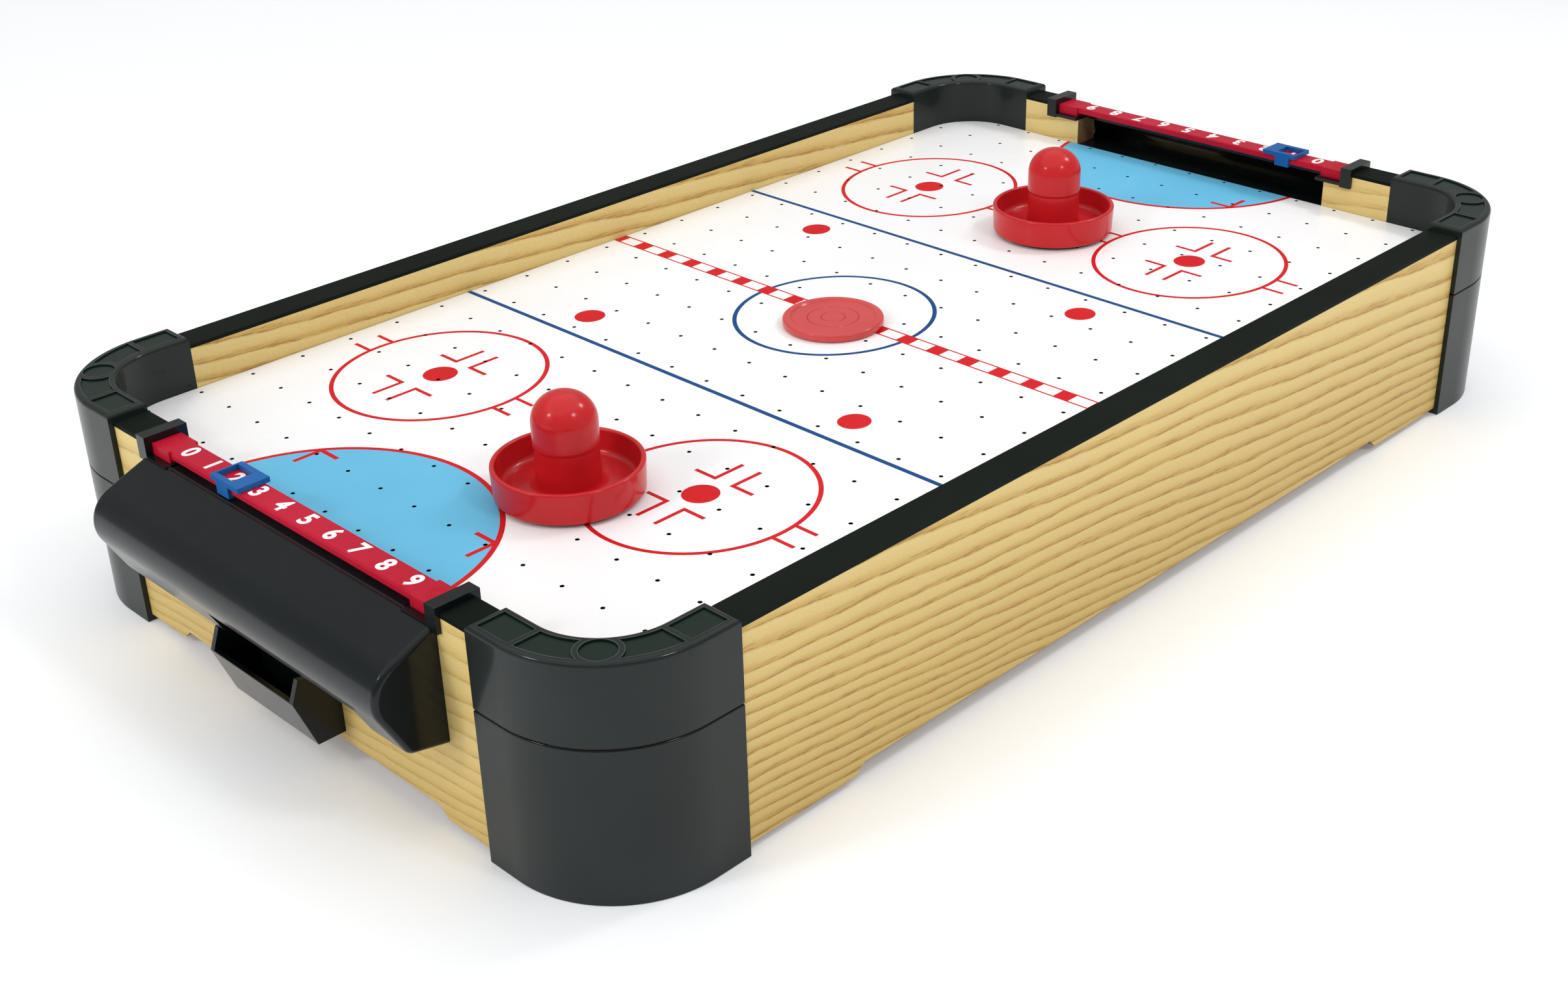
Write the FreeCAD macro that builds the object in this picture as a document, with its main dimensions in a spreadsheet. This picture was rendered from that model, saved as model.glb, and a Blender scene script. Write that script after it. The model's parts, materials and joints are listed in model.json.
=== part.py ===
"""Small tabletop air hockey table, 20 in by 12 in, battery powered.

Frame: +X runs along the table from the near goal to the far goal, +Y to the far long side,
+Z up. The origin is on the floor under the middle of the table. Millimetres throughout.
Every driving size is a cell of the Sizes sheet, and every sub-part is bound to those cells.
"""
import FreeCAD, Part
import math
import os
import re

import Sketcher

V = FreeCAD.Vector

# ---------------------------------------------------------------- driving sizes
SIZES = {
    # wooden frame
    "body_length": 508, "body_width": 305, "wall_thick": 13, "foot_gap": 2.5,
    "strip_top": 79, "strip_thick": 1.5, "foot_rise": 3.5, "foot_slope": 4,
    "side_recess": 150, "end_recess": 73, "fit_gap": 0.2,
    # playing surface
    "board_top": 61.5, "board_thick": 3, "hole_pitch_x": 22.08, "hole_pitch_y": 19.13,
    "hole_radius": 0.8, "hole_shift_x": 7.3, "hole_shift_y": 1.1,
    "ledger_side": 12, "ledger_length": 330, "end_ledger_length": 160,
    # corner posts
    "corner_leg": 52.5, "corner_proud": 2, "corner_round": 41, "corner_inner_round": 25,
    "corner_skin": 2.5, "corner_seam": 54, "corner_top": 82, "corner_edge_round": 1.5,
    "seam_round": 0.6, "cell_depth": 0.5, "cell_margin": 2.4, "cell_length": 14,
    "cell_gap": 1.6, "cell_round_radius": 5.7, "cell_round_place": 15.2,
    # goals
    "goal_shift": -2.1, "mouth_half": 67.8, "mouth_sill": 60.5, "notch_half": 83.6,
    "notch_floor": 73.1,
    "hood_half": 81, "hood_skin": 2.2, "hood_top": 74.4, "hood_nose_out": 28.8,
    "hood_nose_up": 62.8, "hood_toe_out": 14, "hood_toe_up": 36, "hood_heel_up": 33,
    "hood_nose_round": 12, "hood_toe_round": 4, "hood_cheek_round": 1.8,
    "hatch_right": 63, "hatch_left": 18, "hatch_top": 46.5, "sill_thick": 0.8, "sill_drop": 14,
    "pocket_half": 24, "pocket_skin": 2, "pocket_bottom": 10, "pocket_toe_out": 10.3,
    "pocket_lip_out": 17, "pocket_lip_up": 28, "pocket_rear_up": 32.7,
    # score bars, brackets and sliders
    "bar_half": 78.3, "bar_width": 9.6, "bar_top": 78.7, "bar_thick": 2.6, "block_start": 67.5,
    "block_width": 11, "block_bottom": 74.55, "digit_pitch": 13.85, "bracket_top": 81.3,
    "bracket_bottom": 72.5, "bracket_lap": 1.6, "bar_gap": 0.15, "bar_edge_round": 0.8,
    "shelf_thick": 1.3, "shelf_inner": 66.2, "relief_gap": 0.15,
    "lip_half": 65.3, "lip_reach": 5.4, "lip_top": 74.2, "lip_thick": 1.6,
    "slider_length": 16.4, "slider_width": 12, "slider_thick": 1.8, "window_width": 7.8,
    "window_length": 9.4, "slider_offset": 2.7, "slider_leg": 7, "slider_leg_offset": 1,
    "slider_leg_bottom": 74.7, "slider_gap": 0.12, "slider_hook": 1.4, "slider_leg_thick": 1.08,
    # strikers and puck
    "air_gap": 0.2, "striker_radius": 26, "striker_foot_radius": 25.5, "striker_rim": 12.5,
    "striker_rim_thick": 1.8, "brim_round": 0.7, "sole_round": 1.2, "striker_floor": 3.5,
    "floor_round": 2.5, "stem_radius": 10.8, "stem_top": 18, "stem_step": 1.2,
    "knob_radius": 11.2, "knob_top": 37, "knob_round": 10.2, "knob_skin": 2,
    "bore_shoulder": 5, "bore_slope": 7, "pad_thick": 1, "pad_inner": 18, "pad_outer": 23,
    "near_striker_x": -161.5, "near_striker_y": -30.2, "far_striker_x": 137.9,
    "far_striker_y": 2.4,
    "puck_radius": 20, "puck_thick": 3.3, "puck_x": 0.3, "puck_y": 3.2, "puck_dish": 0.6,
    "puck_ring": 17, "puck_edge_round": 1.1, "groove_outer": 9.9, "groove_inner": 4.5,
    "groove_width": 0.5, "groove_depth": 0.35,
    # blower under the board
    "panel_bottom": 6.5, "panel_thick": 3, "intake_radius": 31, "grille_radius": 36,
    "grille_thick": 1.6, "slot_width": 3, "slot_pitch": 5.6, "ring_height": 16,
    "ring_skin": 2, "motor_radius": 12, "motor_height": 22, "motor_bottom": 31,
    "shaft_radius": 1, "hub_radius": 7, "blade_reach": 28.5, "rotor_height": 11,
    "rotor_bottom": 13, "blade_thick": 1.4, "blade_tilt": 38, "arm_width": 9, "arm_thick": 2.5,
    "arm_reach": 40,
    # battery case and switch
    "case_x": 120, "case_length": 60, "case_width": 64, "case_height": 20, "case_skin": 1.8,
    "case_gap": 0.2, "door_half": 30, "door_thick": 1.6, "rail_low": 3.6, "rail_thick": 0.9,
    "battery_radius": 7.1, "battery_length": 50, "battery_pitch": 14.7, "contact_side": 9,
    "contact_thick": 0.8, "spring_radius": 3.2, "battery_rise": 0.4, "door_rail_width": 2,
    "switch_x": 120, "switch_up": 34, "switch_length": 21, "switch_height": 15,
    "bezel_thick": 1.5, "rocker_length": 15, "rocker_height": 9.4, "rocker_deep": 7, "rocker_tilt": 8,
    "rocker_stand": -0.6, "switch_deep": 16, "trunnion_radius": 1, "trunnion_gap": 0.06,
    "pivot_in": 2, "wire_radius": 0.9, "cleat_side": 12, "cleat_length": 330, "screw_y": 73,
    "screw_low": 45, "screw_high": 64, "panel_screw_x": 60, "panel_screw_y": 133.5,
    "screw_slack": 0.15, "screw_radius": 1.6, "screw_head": 3.2, "screw_length": 14,
    "screw_head_thick": 1.8,
}
HOLE_COLUMNS = 22
HOLE_ROWS = 15
BLADES = 7
CORNERS = {"near_right": 0, "far_right": 90, "far_left": 180, "near_left": 270}
ENDS = {"near": 0, "far": 180}

doc = FreeCAD.newDocument("AirHockeyTable")
sheet = doc.addObject("Spreadsheet::Sheet", "Sizes")
for row, (word, value) in enumerate(SIZES.items(), start=1):
    sheet.set(f"A{row}", word)
    sheet.set(f"B{row}", str(value))
    sheet.setAlias(f"B{row}", word)
doc.recompute()

nodes = {}


def cells(text):
    """Point every size word of a formula at its cell in the sheet."""
    return re.sub(r"[a-z_]\w*", lambda found: "Sizes." + found.group()
                  if found.group() in SIZES else found.group(), str(text))


def number(text):
    """The present value of a formula of sheet cells."""
    return float(sheet.evalExpression(cells(text)))


def bind(item, **formulas):
    """Bind properties to formulas; a double underscore stands for a dot."""
    for name, formula in formulas.items():
        item.setExpression(name.replace("__", "."), cells(formula))
    return item


# ---------------------------------------------------------------- part primitives
def name_for(label):
    return label.title().replace("_", "")


def block(label, low, size):
    """A box from its low corner and its size, both as formulas."""
    box = doc.addObject("Part::Box", name_for(label))
    box.Label = label
    bind(box, Length=size[0], Width=size[1], Height=size[2], Placement__Base__x=low[0],
         Placement__Base__y=low[1], Placement__Base__z=low[2])
    return box


def rod(label, base, radius, height, axis=None):
    """A cylinder from the middle of its base, along +Z or another axis."""
    cylinder = doc.addObject("Part::Cylinder", name_for(label))
    cylinder.Label = label
    if axis is not None:
        cylinder.Placement = FreeCAD.Placement(V(0, 0, 0), FreeCAD.Rotation(V(0, 0, 1), axis))
    bind(cylinder, Radius=radius, Height=height, Placement__Base__x=base[0],
         Placement__Base__y=base[1], Placement__Base__z=base[2])
    return cylinder


def cut(label, base, *tools):
    """The base with every tool taken away."""
    result = base
    for count, tool in enumerate(tools, start=1):
        step = doc.addObject("Part::Cut", name_for(label))
        step.Base = result
        step.Tool = tool
        step.Label = label if count == len(tools) else f"{label}_step_{count}"
        result = step
    return result


def fuse(label, *shapes):
    joined = doc.addObject("Part::MultiFuse", name_for(label))
    joined.Shapes = list(shapes)
    joined.Label = label
    return joined


def group(label, *shapes):
    """Identical separate solids that share one node."""
    together = doc.addObject("Part::Compound", name_for(label))
    together.Links = list(shapes)
    together.Label = label
    return together


def rounded(label, base, radius, chosen):
    """Fillet the edges of a shape that a test picks."""
    doc.recompute()
    fillet = doc.addObject("Part::Fillet", name_for(label))
    fillet.Base = base
    fillet.Label = label
    size = number(radius)
    fillet.Edges = [(index, size, size)
                    for index, edge in enumerate(base.Shape.Edges, start=1) if chosen(edge)]
    return fillet


def node(item, turn=0, at=("0", "0")):
    """Keep an object as a sub-part, turned about the vertical and moved in plan by formulas."""
    if turn or at != ("0", "0"):
        if item.TypeId != "PartDesign::Body":
            label = item.Label
            item.Label = f"{label}_unturned"
            item = group(label, item)
        item.Placement = FreeCAD.Placement(V(0, 0, 0), FreeCAD.Rotation(V(0, 0, 1), turn))
        bind(item, Placement__Base__x=at[0], Placement__Base__y=at[1])
    nodes[item.Label] = item
    return item


# ---------------------------------------------------------------- bodies from sketches
def new_body(label):
    body = doc.addObject("PartDesign::Body", name_for(label))
    body.Label = label
    return body


def sketch_on(body, role, height="0"):
    """A sketch on one of the body's own origin planes, raised along its normal."""
    sketch = body.newObject("Sketcher::SketchObject", body.Name + "Sketch")
    plane = [item for item in body.Origin.OriginFeatures if item.Role == role][0]
    sketch.AttachmentSupport = [(plane, "")]
    sketch.MapMode = "FlatFace"
    bind(sketch, AttachmentOffset__Base__z=height)
    return sketch


def arc_between(start, end, radius, bend):
    """An arc from start to end; bend is 1 to turn left on the way and -1 to turn right."""
    chord = end - start
    middle = (start + end) * 0.5
    across = V(-chord.y, chord.x, 0).normalize()
    rise = radius - math.sqrt(max(radius ** 2 - chord.Length ** 2 / 4, 0))
    return Part.Arc(start, middle - across * rise * bend, end)


def outline(sketch, corners):
    """A closed outline whose corners are bound to formulas.

    A corner is (x, y), or (x, y, radius, bend) where an arc and not a line leaves it.
    """
    first = sketch.GeometryCount
    places = [V(number(corner[0]), number(corner[1]), 0) for corner in corners]
    for corner, start, end in zip(corners, places, places[1:] + places[:1]):
        if len(corner) == 2:
            sketch.addGeometry(Part.LineSegment(start, end))
        else:
            sketch.addGeometry(arc_between(start, end, number(corner[2]), corner[3]))
    heads = [2 if len(corner) == 4 and corner[3] < 0 else 1 for corner in corners]
    for index, corner in enumerate(corners):
        following = (index + 1) % len(corners)
        sketch.addConstraint(Sketcher.Constraint(
            "Coincident", first + index, 3 - heads[index], first + following, heads[following]))
        for kind, formula, value in (("DistanceX", corner[0], places[index].x),
                                     ("DistanceY", corner[1], places[index].y)):
            rule = sketch.addConstraint(
                Sketcher.Constraint(kind, -1, 1, first + index, heads[index], value))
            sketch.setExpression(f"Constraints[{rule}]", cells(formula))
        if len(corner) == 4:
            rule = sketch.addConstraint(
                Sketcher.Constraint("Radius", first + index, number(corner[2])))
            sketch.setExpression(f"Constraints[{rule}]", cells(corner[2]))


def ring(sketch, middle, radius):
    """A circle bound to formulas for its middle and radius."""
    place = V(number(middle[0]), number(middle[1]), 0)
    curve = sketch.addGeometry(Part.Circle(place, V(0, 0, 1), number(radius)))
    for kind, formula, value in (("DistanceX", middle[0], place.x),
                                 ("DistanceY", middle[1], place.y)):
        rule = sketch.addConstraint(Sketcher.Constraint(kind, -1, 1, curve, 3, value))
        sketch.setExpression(f"Constraints[{rule}]", cells(formula))
    rule = sketch.addConstraint(Sketcher.Constraint("Radius", curve, number(radius)))
    sketch.setExpression(f"Constraints[{rule}]", cells(radius))


def pad(body, sketch, length, both_sides=False, backwards=False):
    feature = body.newObject("PartDesign::Pad", body.Name + "Pad")
    feature.Profile = sketch
    feature.SideType = "Symmetric" if both_sides else "One side"
    feature.Reversed = backwards
    return bind(feature, Length=length)


def pocket(body, sketch, length, both_sides=False, backwards=False):
    """Cut a sketch away, and make sure that it did take material."""
    doc.recompute()
    before = body.Shape.Volume
    feature = body.newObject("PartDesign::Pocket", body.Name + "Pocket")
    feature.Profile = sketch
    feature.SideType = "Symmetric" if both_sides else "One side"
    feature.Reversed = backwards
    bind(feature, Length=length)
    doc.recompute()
    if body.Shape.Volume > before - 1e-3:
        raise ValueError(f"the pocket in {body.Label} cuts nothing")
    return feature


def revolve(body, sketch):
    """Turn a sketch of the XZ plane once round the body's Z axis."""
    feature = body.newObject("PartDesign::Revolution", body.Name + "Revolution")
    feature.Profile = sketch
    feature.ReferenceAxis = (sketch, ["V_Axis"])
    feature.Angle = 360
    return feature


def soften(body, radius, chosen):
    """Fillet the edges of a body that a test picks."""
    doc.recompute()
    tip = body.Tip
    picked = [f"Edge{index}" for index, edge in enumerate(tip.Shape.Edges, start=1)
              if chosen(edge)]
    if not picked:
        raise ValueError(f"no edge of {body.Label} was picked for rounding")
    feature = body.newObject("PartDesign::Fillet", body.Name + "Fillet")
    feature.Base = (tip, picked)
    return bind(feature, Radius=radius)


def close(first, second, slack=0.01):
    return abs(first - second) < slack


def upright_at(edge, x, y):
    """True for a vertical straight edge at a place in plan."""
    box = edge.BoundBox
    return (close(box.XMin, x) and close(box.XMax, x) and close(box.YMin, y)
            and close(box.YMax, y) and box.ZLength > 1)


def runs_along_y(edge, x, z):
    box = edge.BoundBox
    return (close(box.XMin, x) and close(box.XMax, x) and close(box.ZMin, z)
            and close(box.ZMax, z) and box.YLength > 10)


def inset(corners, distance):
    """The corners of a convex outline whose sides are all moved inwards by a distance."""
    middle = (sum(x for x, _ in corners) / len(corners), sum(y for _, y in corners) / len(corners))
    sides = []
    for (x0, y0), (x1, y1) in zip(corners, corners[1:] + corners[:1]):
        length = math.hypot(x1 - x0, y1 - y0)
        across = ((y0 - y1) / length, (x1 - x0) / length)
        reach = across[0] * x0 + across[1] * y0
        inward = 1 if across[0] * middle[0] + across[1] * middle[1] > reach else -1
        sides.append((across, reach + inward * distance))
    moved = []
    for (first, reach_a), (second, reach_b) in zip(sides[-1:] + sides[:-1], sides):
        twist = first[0] * second[1] - first[1] * second[0]
        moved.append(((reach_a * second[1] - reach_b * first[1]) / twist,
                      (first[0] * reach_b - second[0] * reach_a) / twist))
    return moved


def level_at(edge, z):
    box = edge.BoundBox
    return close(box.ZMin, z) and close(box.ZMax, z)


# ---------------------------------------------------------------- wooden frame
def foot_profile(half, recess, top):
    """A wall seen from outside: two feet with a shallow recess between them."""
    return [(f"-{half}", "foot_gap"), (f"-{recess}-foot_slope", "foot_gap"),
            (f"-{recess}", "foot_gap+foot_rise"), (recess, "foot_gap+foot_rise"),
            (f"{recess}+foot_slope", "foot_gap"), (half, "foot_gap")] + top


def side_wall(label, turn):
    body = new_body(label)
    half = "(body_length/2-corner_leg)"
    sketch = sketch_on(body, "XZ_Plane", "body_width/2-wall_thick")
    top = [(half, "strip_top-strip_thick"), (f"-{half}", "strip_top-strip_thick")]
    outline(sketch, foot_profile(half, "side_recess", top))
    if label == "side_wall_back":
        low_x, high_x = "(-switch_x-switch_length/2+1)", "(-switch_x+switch_length/2-1)"
        low_z, high_z = "(switch_up-switch_height/2+1)", "(switch_up+switch_height/2-1)"
        outline(sketch, [(low_x, low_z), (high_x, low_z), (high_x, high_z), (low_x, high_z)])
    pad(body, sketch, "wall_thick")
    return node(body, turn)


def end_wall(label, turn):
    """A short wall with the goal mouth and the two notches that hold the score bar."""
    body = new_body(label)
    half = "(body_width/2-corner_leg)"
    wood_top = "strip_top-strip_thick"

    def side(sign):
        notch_end = f"({sign}*notch_half+goal_shift)"
        return [(f"{sign}*{half}", wood_top), (notch_end, wood_top), (notch_end, "notch_floor"),
                (f"{sign}*mouth_half", "notch_floor"), (f"{sign}*mouth_half", "mouth_sill")]

    right = side(1)
    left = side(-1)[::-1]
    sketch = sketch_on(body, "YZ_Plane", "-body_length/2")
    outline(sketch, foot_profile(half, "end_recess", right + left))
    pad(body, sketch, "wall_thick")
    bores = sketch_on(body, "YZ_Plane", "-body_length/2")
    for y in ("screw_y", "-screw_y"):
        for z in ("screw_low", "screw_high"):
            ring(bores, (y, z), "screw_radius")
    pocket(body, bores, "screw_length-hood_skin", backwards=True)
    return node(body, turn)


def wooden_frame():
    side_wall("side_wall_front", 0)
    side_wall("side_wall_back", 180)
    for end, turn in ENDS.items():
        end_wall(f"end_wall_{end}", turn)
    strip_low = "strip_top-strip_thick"
    for place, turn in (("front", 0), ("back", 180)):
        strip = block(f"rail_strip_{place}", ("-(body_length/2-corner_leg)", "-body_width/2",
                                              strip_low),
                      ("body_length-2*corner_leg", "wall_thick", "strip_thick"))
        node(strip, turn)
    for end, turn in ENDS.items():
        for side, sign, low in (("right", -1, "-(body_width/2-corner_leg)"),
                                ("left", 1, "(notch_half+goal_shift)")):
            strip = block(f"rail_strip_{end}_{side}", ("-body_length/2", low, strip_low),
                          ("wall_thick", f"body_width/2-corner_leg-notch_half-{sign}*goal_shift",
                           "strip_thick"))
            node(strip, turn)
    ledger_low = "board_top-board_thick-ledger_side"
    for place, turn in (("front", 0), ("back", 180)):
        ledger = block(f"board_ledger_{place}",
                       ("-ledger_length/2", "-(body_width/2-wall_thick)", ledger_low),
                       ("ledger_length", "ledger_side", "ledger_side"))
        node(ledger, turn)
    for end, turn in ENDS.items():
        ledger = block(f"board_ledger_{end}",
                       ("-(body_length/2-wall_thick)", "-end_ledger_length/2", ledger_low),
                       ("ledger_side", "end_ledger_length", "ledger_side"))
        node(ledger, turn)


# ---------------------------------------------------------------- playing surface
def round_panel_corners(body):
    """Round a panel's corners to follow the inside of the corner posts."""
    half_x = number("body_length/2-wall_thick-fit_gap")
    half_y = number("body_width/2-wall_thick-fit_gap")
    soften(body, "corner_inner_round-fit_gap",
           lambda edge: any(upright_at(edge, x, y) for x in (-half_x, half_x)
                            for y in (-half_y, half_y)))


def panel_sketch(body, height):
    half_x = "(body_length/2-wall_thick-fit_gap)"
    half_y = "(body_width/2-wall_thick-fit_gap)"
    sketch = sketch_on(body, "XY_Plane", height)
    outline(sketch, [(f"-{half_x}", f"-{half_y}"), (half_x, f"-{half_y}"), (half_x, half_y),
                     (f"-{half_x}", half_y)])
    return sketch


def playfield_board():
    body = new_body("playfield_board")
    sketch = panel_sketch(body, "board_top-board_thick")
    pitch = V(number("hole_pitch_x"), number("hole_pitch_y"), 0)
    shift = V(number("hole_shift_x"), number("hole_shift_y"), 0)
    for column in range(HOLE_COLUMNS):
        for line in range(HOLE_ROWS):
            place = shift + V((column - (HOLE_COLUMNS - 1) / 2) * pitch.x,
                              (line - (HOLE_ROWS - 1) / 2) * pitch.y, 0)
            sketch.addGeometry(Part.Circle(place, V(0, 0, 1), number("hole_radius")))
    pad(body, sketch, "board_thick")
    round_panel_corners(body)
    node(body)


def panel_screw_places():
    return [(f"{step}*panel_screw_x", f"{side}*panel_screw_y")
            for side in (-1, 1) for step in (-2.5, -1, 1, 2.5)]


def bottom_panel():
    """The floor of the air chamber, open for the blower and the battery case."""
    body = new_body("bottom_panel")
    sketch = panel_sketch(body, "panel_bottom")
    ring(sketch, ("0", "0"), "intake_radius")
    for x, y in panel_screw_places():
        ring(sketch, (x, y), "screw_radius+screw_slack")
    low_x, high_x = "(case_x-case_length/2-fit_gap)", "(case_x+case_length/2+fit_gap)"
    half_y = "(case_width/2+fit_gap)"
    outline(sketch, [(low_x, f"-{half_y}"), (high_x, f"-{half_y}"), (high_x, half_y),
                     (low_x, half_y)])
    pad(body, sketch, "panel_thick")
    round_panel_corners(body)
    node(body)


# ---------------------------------------------------------------- corner posts
def leg_outline(sketch, inset="0"):
    """An L of two legs round a bend, in the corner's own frame, set in from its surface."""
    outside = f"(-corner_proud+{inset})"
    inside = f"(wall_thick-{inset})"
    end = f"(corner_leg-{inset})"
    outer_start = f"({outside}+corner_round-{inset})"
    inner_start = f"({inside}+corner_inner_round+{inset})"
    outline(sketch, [(end, outside), (end, inside),
                     (inner_start, inside, f"corner_inner_round+{inset}", -1),
                     (inside, inner_start), (inside, end), (outside, end),
                     (outside, outer_start, f"corner_round-{inset}", 1),
                     (outer_start, outside)])


def corner_shell(label, low, high, roof):
    """One half of a corner post: a hollow L, closed above or below."""
    body = new_body(label)
    sketch = sketch_on(body, "XY_Plane", low)
    leg_outline(sketch)
    pad(body, sketch, f"{high}-{low}")
    seam = number("corner_seam")
    soften(body, "seam_round", lambda edge: level_at(edge, seam))
    hollow = sketch_on(body, "XY_Plane", low if roof else high)
    leg_outline(hollow, "corner_skin")
    pocket(body, hollow, f"{high}-{low}-corner_skin", backwards=roof)
    return body


def corner_lower(label, turn, at):
    body = corner_shell(label, "0", "corner_seam", roof=False)
    return node(body, turn, at)


CELL_NEAR, CELL_FAR = "(cell_margin-corner_proud)", "(wall_thick-cell_margin)"
CELL_START = "(corner_leg-cell_margin-cell_length)"


def straight_cell():
    """A sunk rectangle on the straight part of a corner's top."""
    end = "(corner_leg-cell_margin)"
    return [(end, CELL_NEAR), (end, CELL_FAR), (CELL_START, CELL_FAR), (CELL_START, CELL_NEAR)]


def bent_cell():
    """A sunk wedge on the bend, between the rectangle and the round cell in the middle."""
    start = f"({CELL_START}-cell_gap)"
    hug = "(cell_round_radius+cell_gap)"
    outer_middle, outer_radius = "(corner_round-corner_proud)", "(corner_round-cell_margin)"
    inner_middle, inner_radius = "(wall_thick+corner_inner_round)", "(corner_inner_round+cell_margin)"

    def beside_round_cell(middle, radius):
        """Where an arc centred on the corner's diagonal meets the circle round the round cell."""
        apart = f"(({middle}-cell_round_place)*sqrt(2))"
        along = f"(({radius}^2-{hug}^2+{apart}^2)/(2*{apart}))"
        across = f"sqrt({radius}^2-{along}^2)"
        return f"({middle}-({along}-{across})/sqrt(2))", f"({middle}-({along}+{across})/sqrt(2))"

    return [(start, f"({inner_middle}-sqrt({inner_radius}^2-({inner_middle}-{start})^2))"),
            (start, f"({outer_middle}-sqrt({outer_radius}^2-({outer_middle}-{start})^2))",
             outer_radius, -1),
            (*beside_round_cell(outer_middle, outer_radius), hug, 1),
            (*beside_round_cell(inner_middle, inner_radius), inner_radius, 1)]


def across_diagonal(corners):
    """An outline mirrored in the corner's own diagonal."""
    return [(y, x, *([arc[0], -arc[1]] if arc else [])) for x, y, *arc in corners]


def corner_upper(label, turn, at):
    body = corner_shell(label, "corner_seam", "corner_top", roof=True)
    top = number("corner_top")
    soften(body, "corner_edge_round", lambda edge: level_at(edge, top))
    sunk = sketch_on(body, "XY_Plane", "corner_top")
    straight, bent = straight_cell(), bent_cell()
    for mirrored in (False, True):
        outline(sunk, across_diagonal(straight) if mirrored else straight)
        outline(sunk, across_diagonal(bent) if mirrored else bent)
    ring(sunk, ("cell_round_place", "cell_round_place"), "cell_round_radius")
    pocket(body, sunk, "cell_depth")
    return node(body, turn, at)


def corner_posts():
    places = {"near_right": ("-body_length/2", "-body_width/2"),
              "far_right": ("body_length/2", "-body_width/2"),
              "far_left": ("body_length/2", "body_width/2"),
              "near_left": ("-body_length/2", "body_width/2")}
    for corner, turn in CORNERS.items():
        corner_lower(f"corner_lower_{corner}", turn, places[corner])
        corner_upper(f"corner_upper_{corner}", turn, places[corner])


# ---------------------------------------------------------------- goals
def goal_hood(label, turn):
    """The outer goal box: a rounded hood with a hatch in its lower front for taking the puck."""
    body = new_body(label)
    face = "-body_length/2"
    profile = [(face, "hood_heel_up"), (face, "hood_top"),
               (f"{face}-hood_nose_out", "hood_nose_up"),
               (f"{face}-hood_toe_out", "hood_toe_up")]
    aside = "-goal_shift"
    sketch = sketch_on(body, "XZ_Plane", aside)
    outline(sketch, profile)
    pad(body, sketch, "2*hood_half", both_sides=True)
    wall = number(face)
    skin = number("hood_skin")
    inside = inset([(number(x), number(z)) for x, z in profile], skin)
    inside[0] = (wall + skin, inside[0][1])
    inside[1] = (wall + skin, inside[1][1])
    hollow = sketch_on(body, "XZ_Plane", aside)
    outline(hollow, inside)
    pocket(body, hollow, "2*(hood_half-hood_skin)", both_sides=True)
    for (x, z), radius in ((inside[2], "hood_nose_round-hood_skin"),
                           (inside[3], "hood_toe_round-hood_skin"),
                           ((number(profile[2][0]), number(profile[2][1])), "hood_nose_round"),
                           ((number(profile[3][0]), number(profile[3][1])), "hood_toe_round")):
        soften(body, radius, lambda edge: runs_along_y(edge, x, z))
    end = number("hood_half")
    middle = number("goal_shift")
    soften(body, "hood_cheek_round",
           lambda edge: close(abs(edge.BoundBox.Center.y - middle), end)
           and edge.BoundBox.YLength < 0.01
           and not (close(edge.BoundBox.XMin, wall) and close(edge.BoundBox.XMax, wall)))
    mouth = sketch_on(body, "YZ_Plane", face)
    half, low, high = "(mouth_half+1)", "(hood_heel_up+hood_skin)", "(hood_top-hood_skin)"
    outline(mouth, [(f"-{half}", low), (half, low), (half, high), (f"-{half}", high)])
    for y in ("screw_y", "-screw_y"):
        for z in ("screw_low", "screw_high"):
            ring(mouth, (y, z), "screw_radius+screw_slack")
    pocket(body, mouth, "2*(hood_skin+1)", both_sides=True)
    hatch = sketch_on(body, "XY_Plane", "hood_heel_up-1")
    ahead = f"({face}-hood_nose_out)"
    start, end = "(goal_shift-hatch_right)", "(goal_shift+hatch_left)"
    outline(hatch, [(ahead, start), (face, start), (face, end), (ahead, end)])
    pocket(body, hatch, "hatch_top-hood_heel_up+1", backwards=True)
    lip = sketch_on(body, "XZ_Plane", aside)
    low, deep, shallow = "lip_top-lip_thick", f"({face}+lip_reach)", f"({face}-hood_skin/2)"
    outline(lip, [(shallow, low), (deep, low), (deep, "lip_top"), (shallow, "lip_top")])
    pad(body, lip, "2*lip_half", both_sides=True)
    clear_of_brackets(body)
    return node(body, turn)


def clear_of_brackets(body):
    """Cut the hood's top back edge away where the bar's brackets wrap the wall."""
    face, low, high = "(-body_length/2)", "(bracket_bottom-relief_gap)", "(hood_top+1)"
    at_brackets = sketch_on(body, "XY_Plane", low)
    depth = f"({face}-bracket_lap-relief_gap)"
    for sign in (-1, 1):
        start = f"(goal_shift+{sign}*(shelf_inner-relief_gap))"
        end = f"(goal_shift+{sign}*(hood_half+1))"
        outline(at_brackets, [(depth, start), (face, start), (face, end), (depth, end)])
    pocket(body, at_brackets, f"{high}-{low}", backwards=True)


def goal_sill(label, turn):
    """A thin plastic trim over the cut edge of the wall, which the puck slides across."""
    half = "(mouth_half-fit_gap)"
    top = block(f"{label}_top", ("-body_length/2-sill_thick", f"-{half}", "mouth_sill"),
                ("wall_thick+sill_thick", f"2*{half}", "sill_thick"))
    drop = block(f"{label}_drop", ("-body_length/2-sill_thick", f"-{half}",
                                   "mouth_sill-sill_drop"),
                 ("sill_thick", f"2*{half}", "sill_drop+sill_thick"))
    return node(fuse(label, top, drop), turn)


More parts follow.
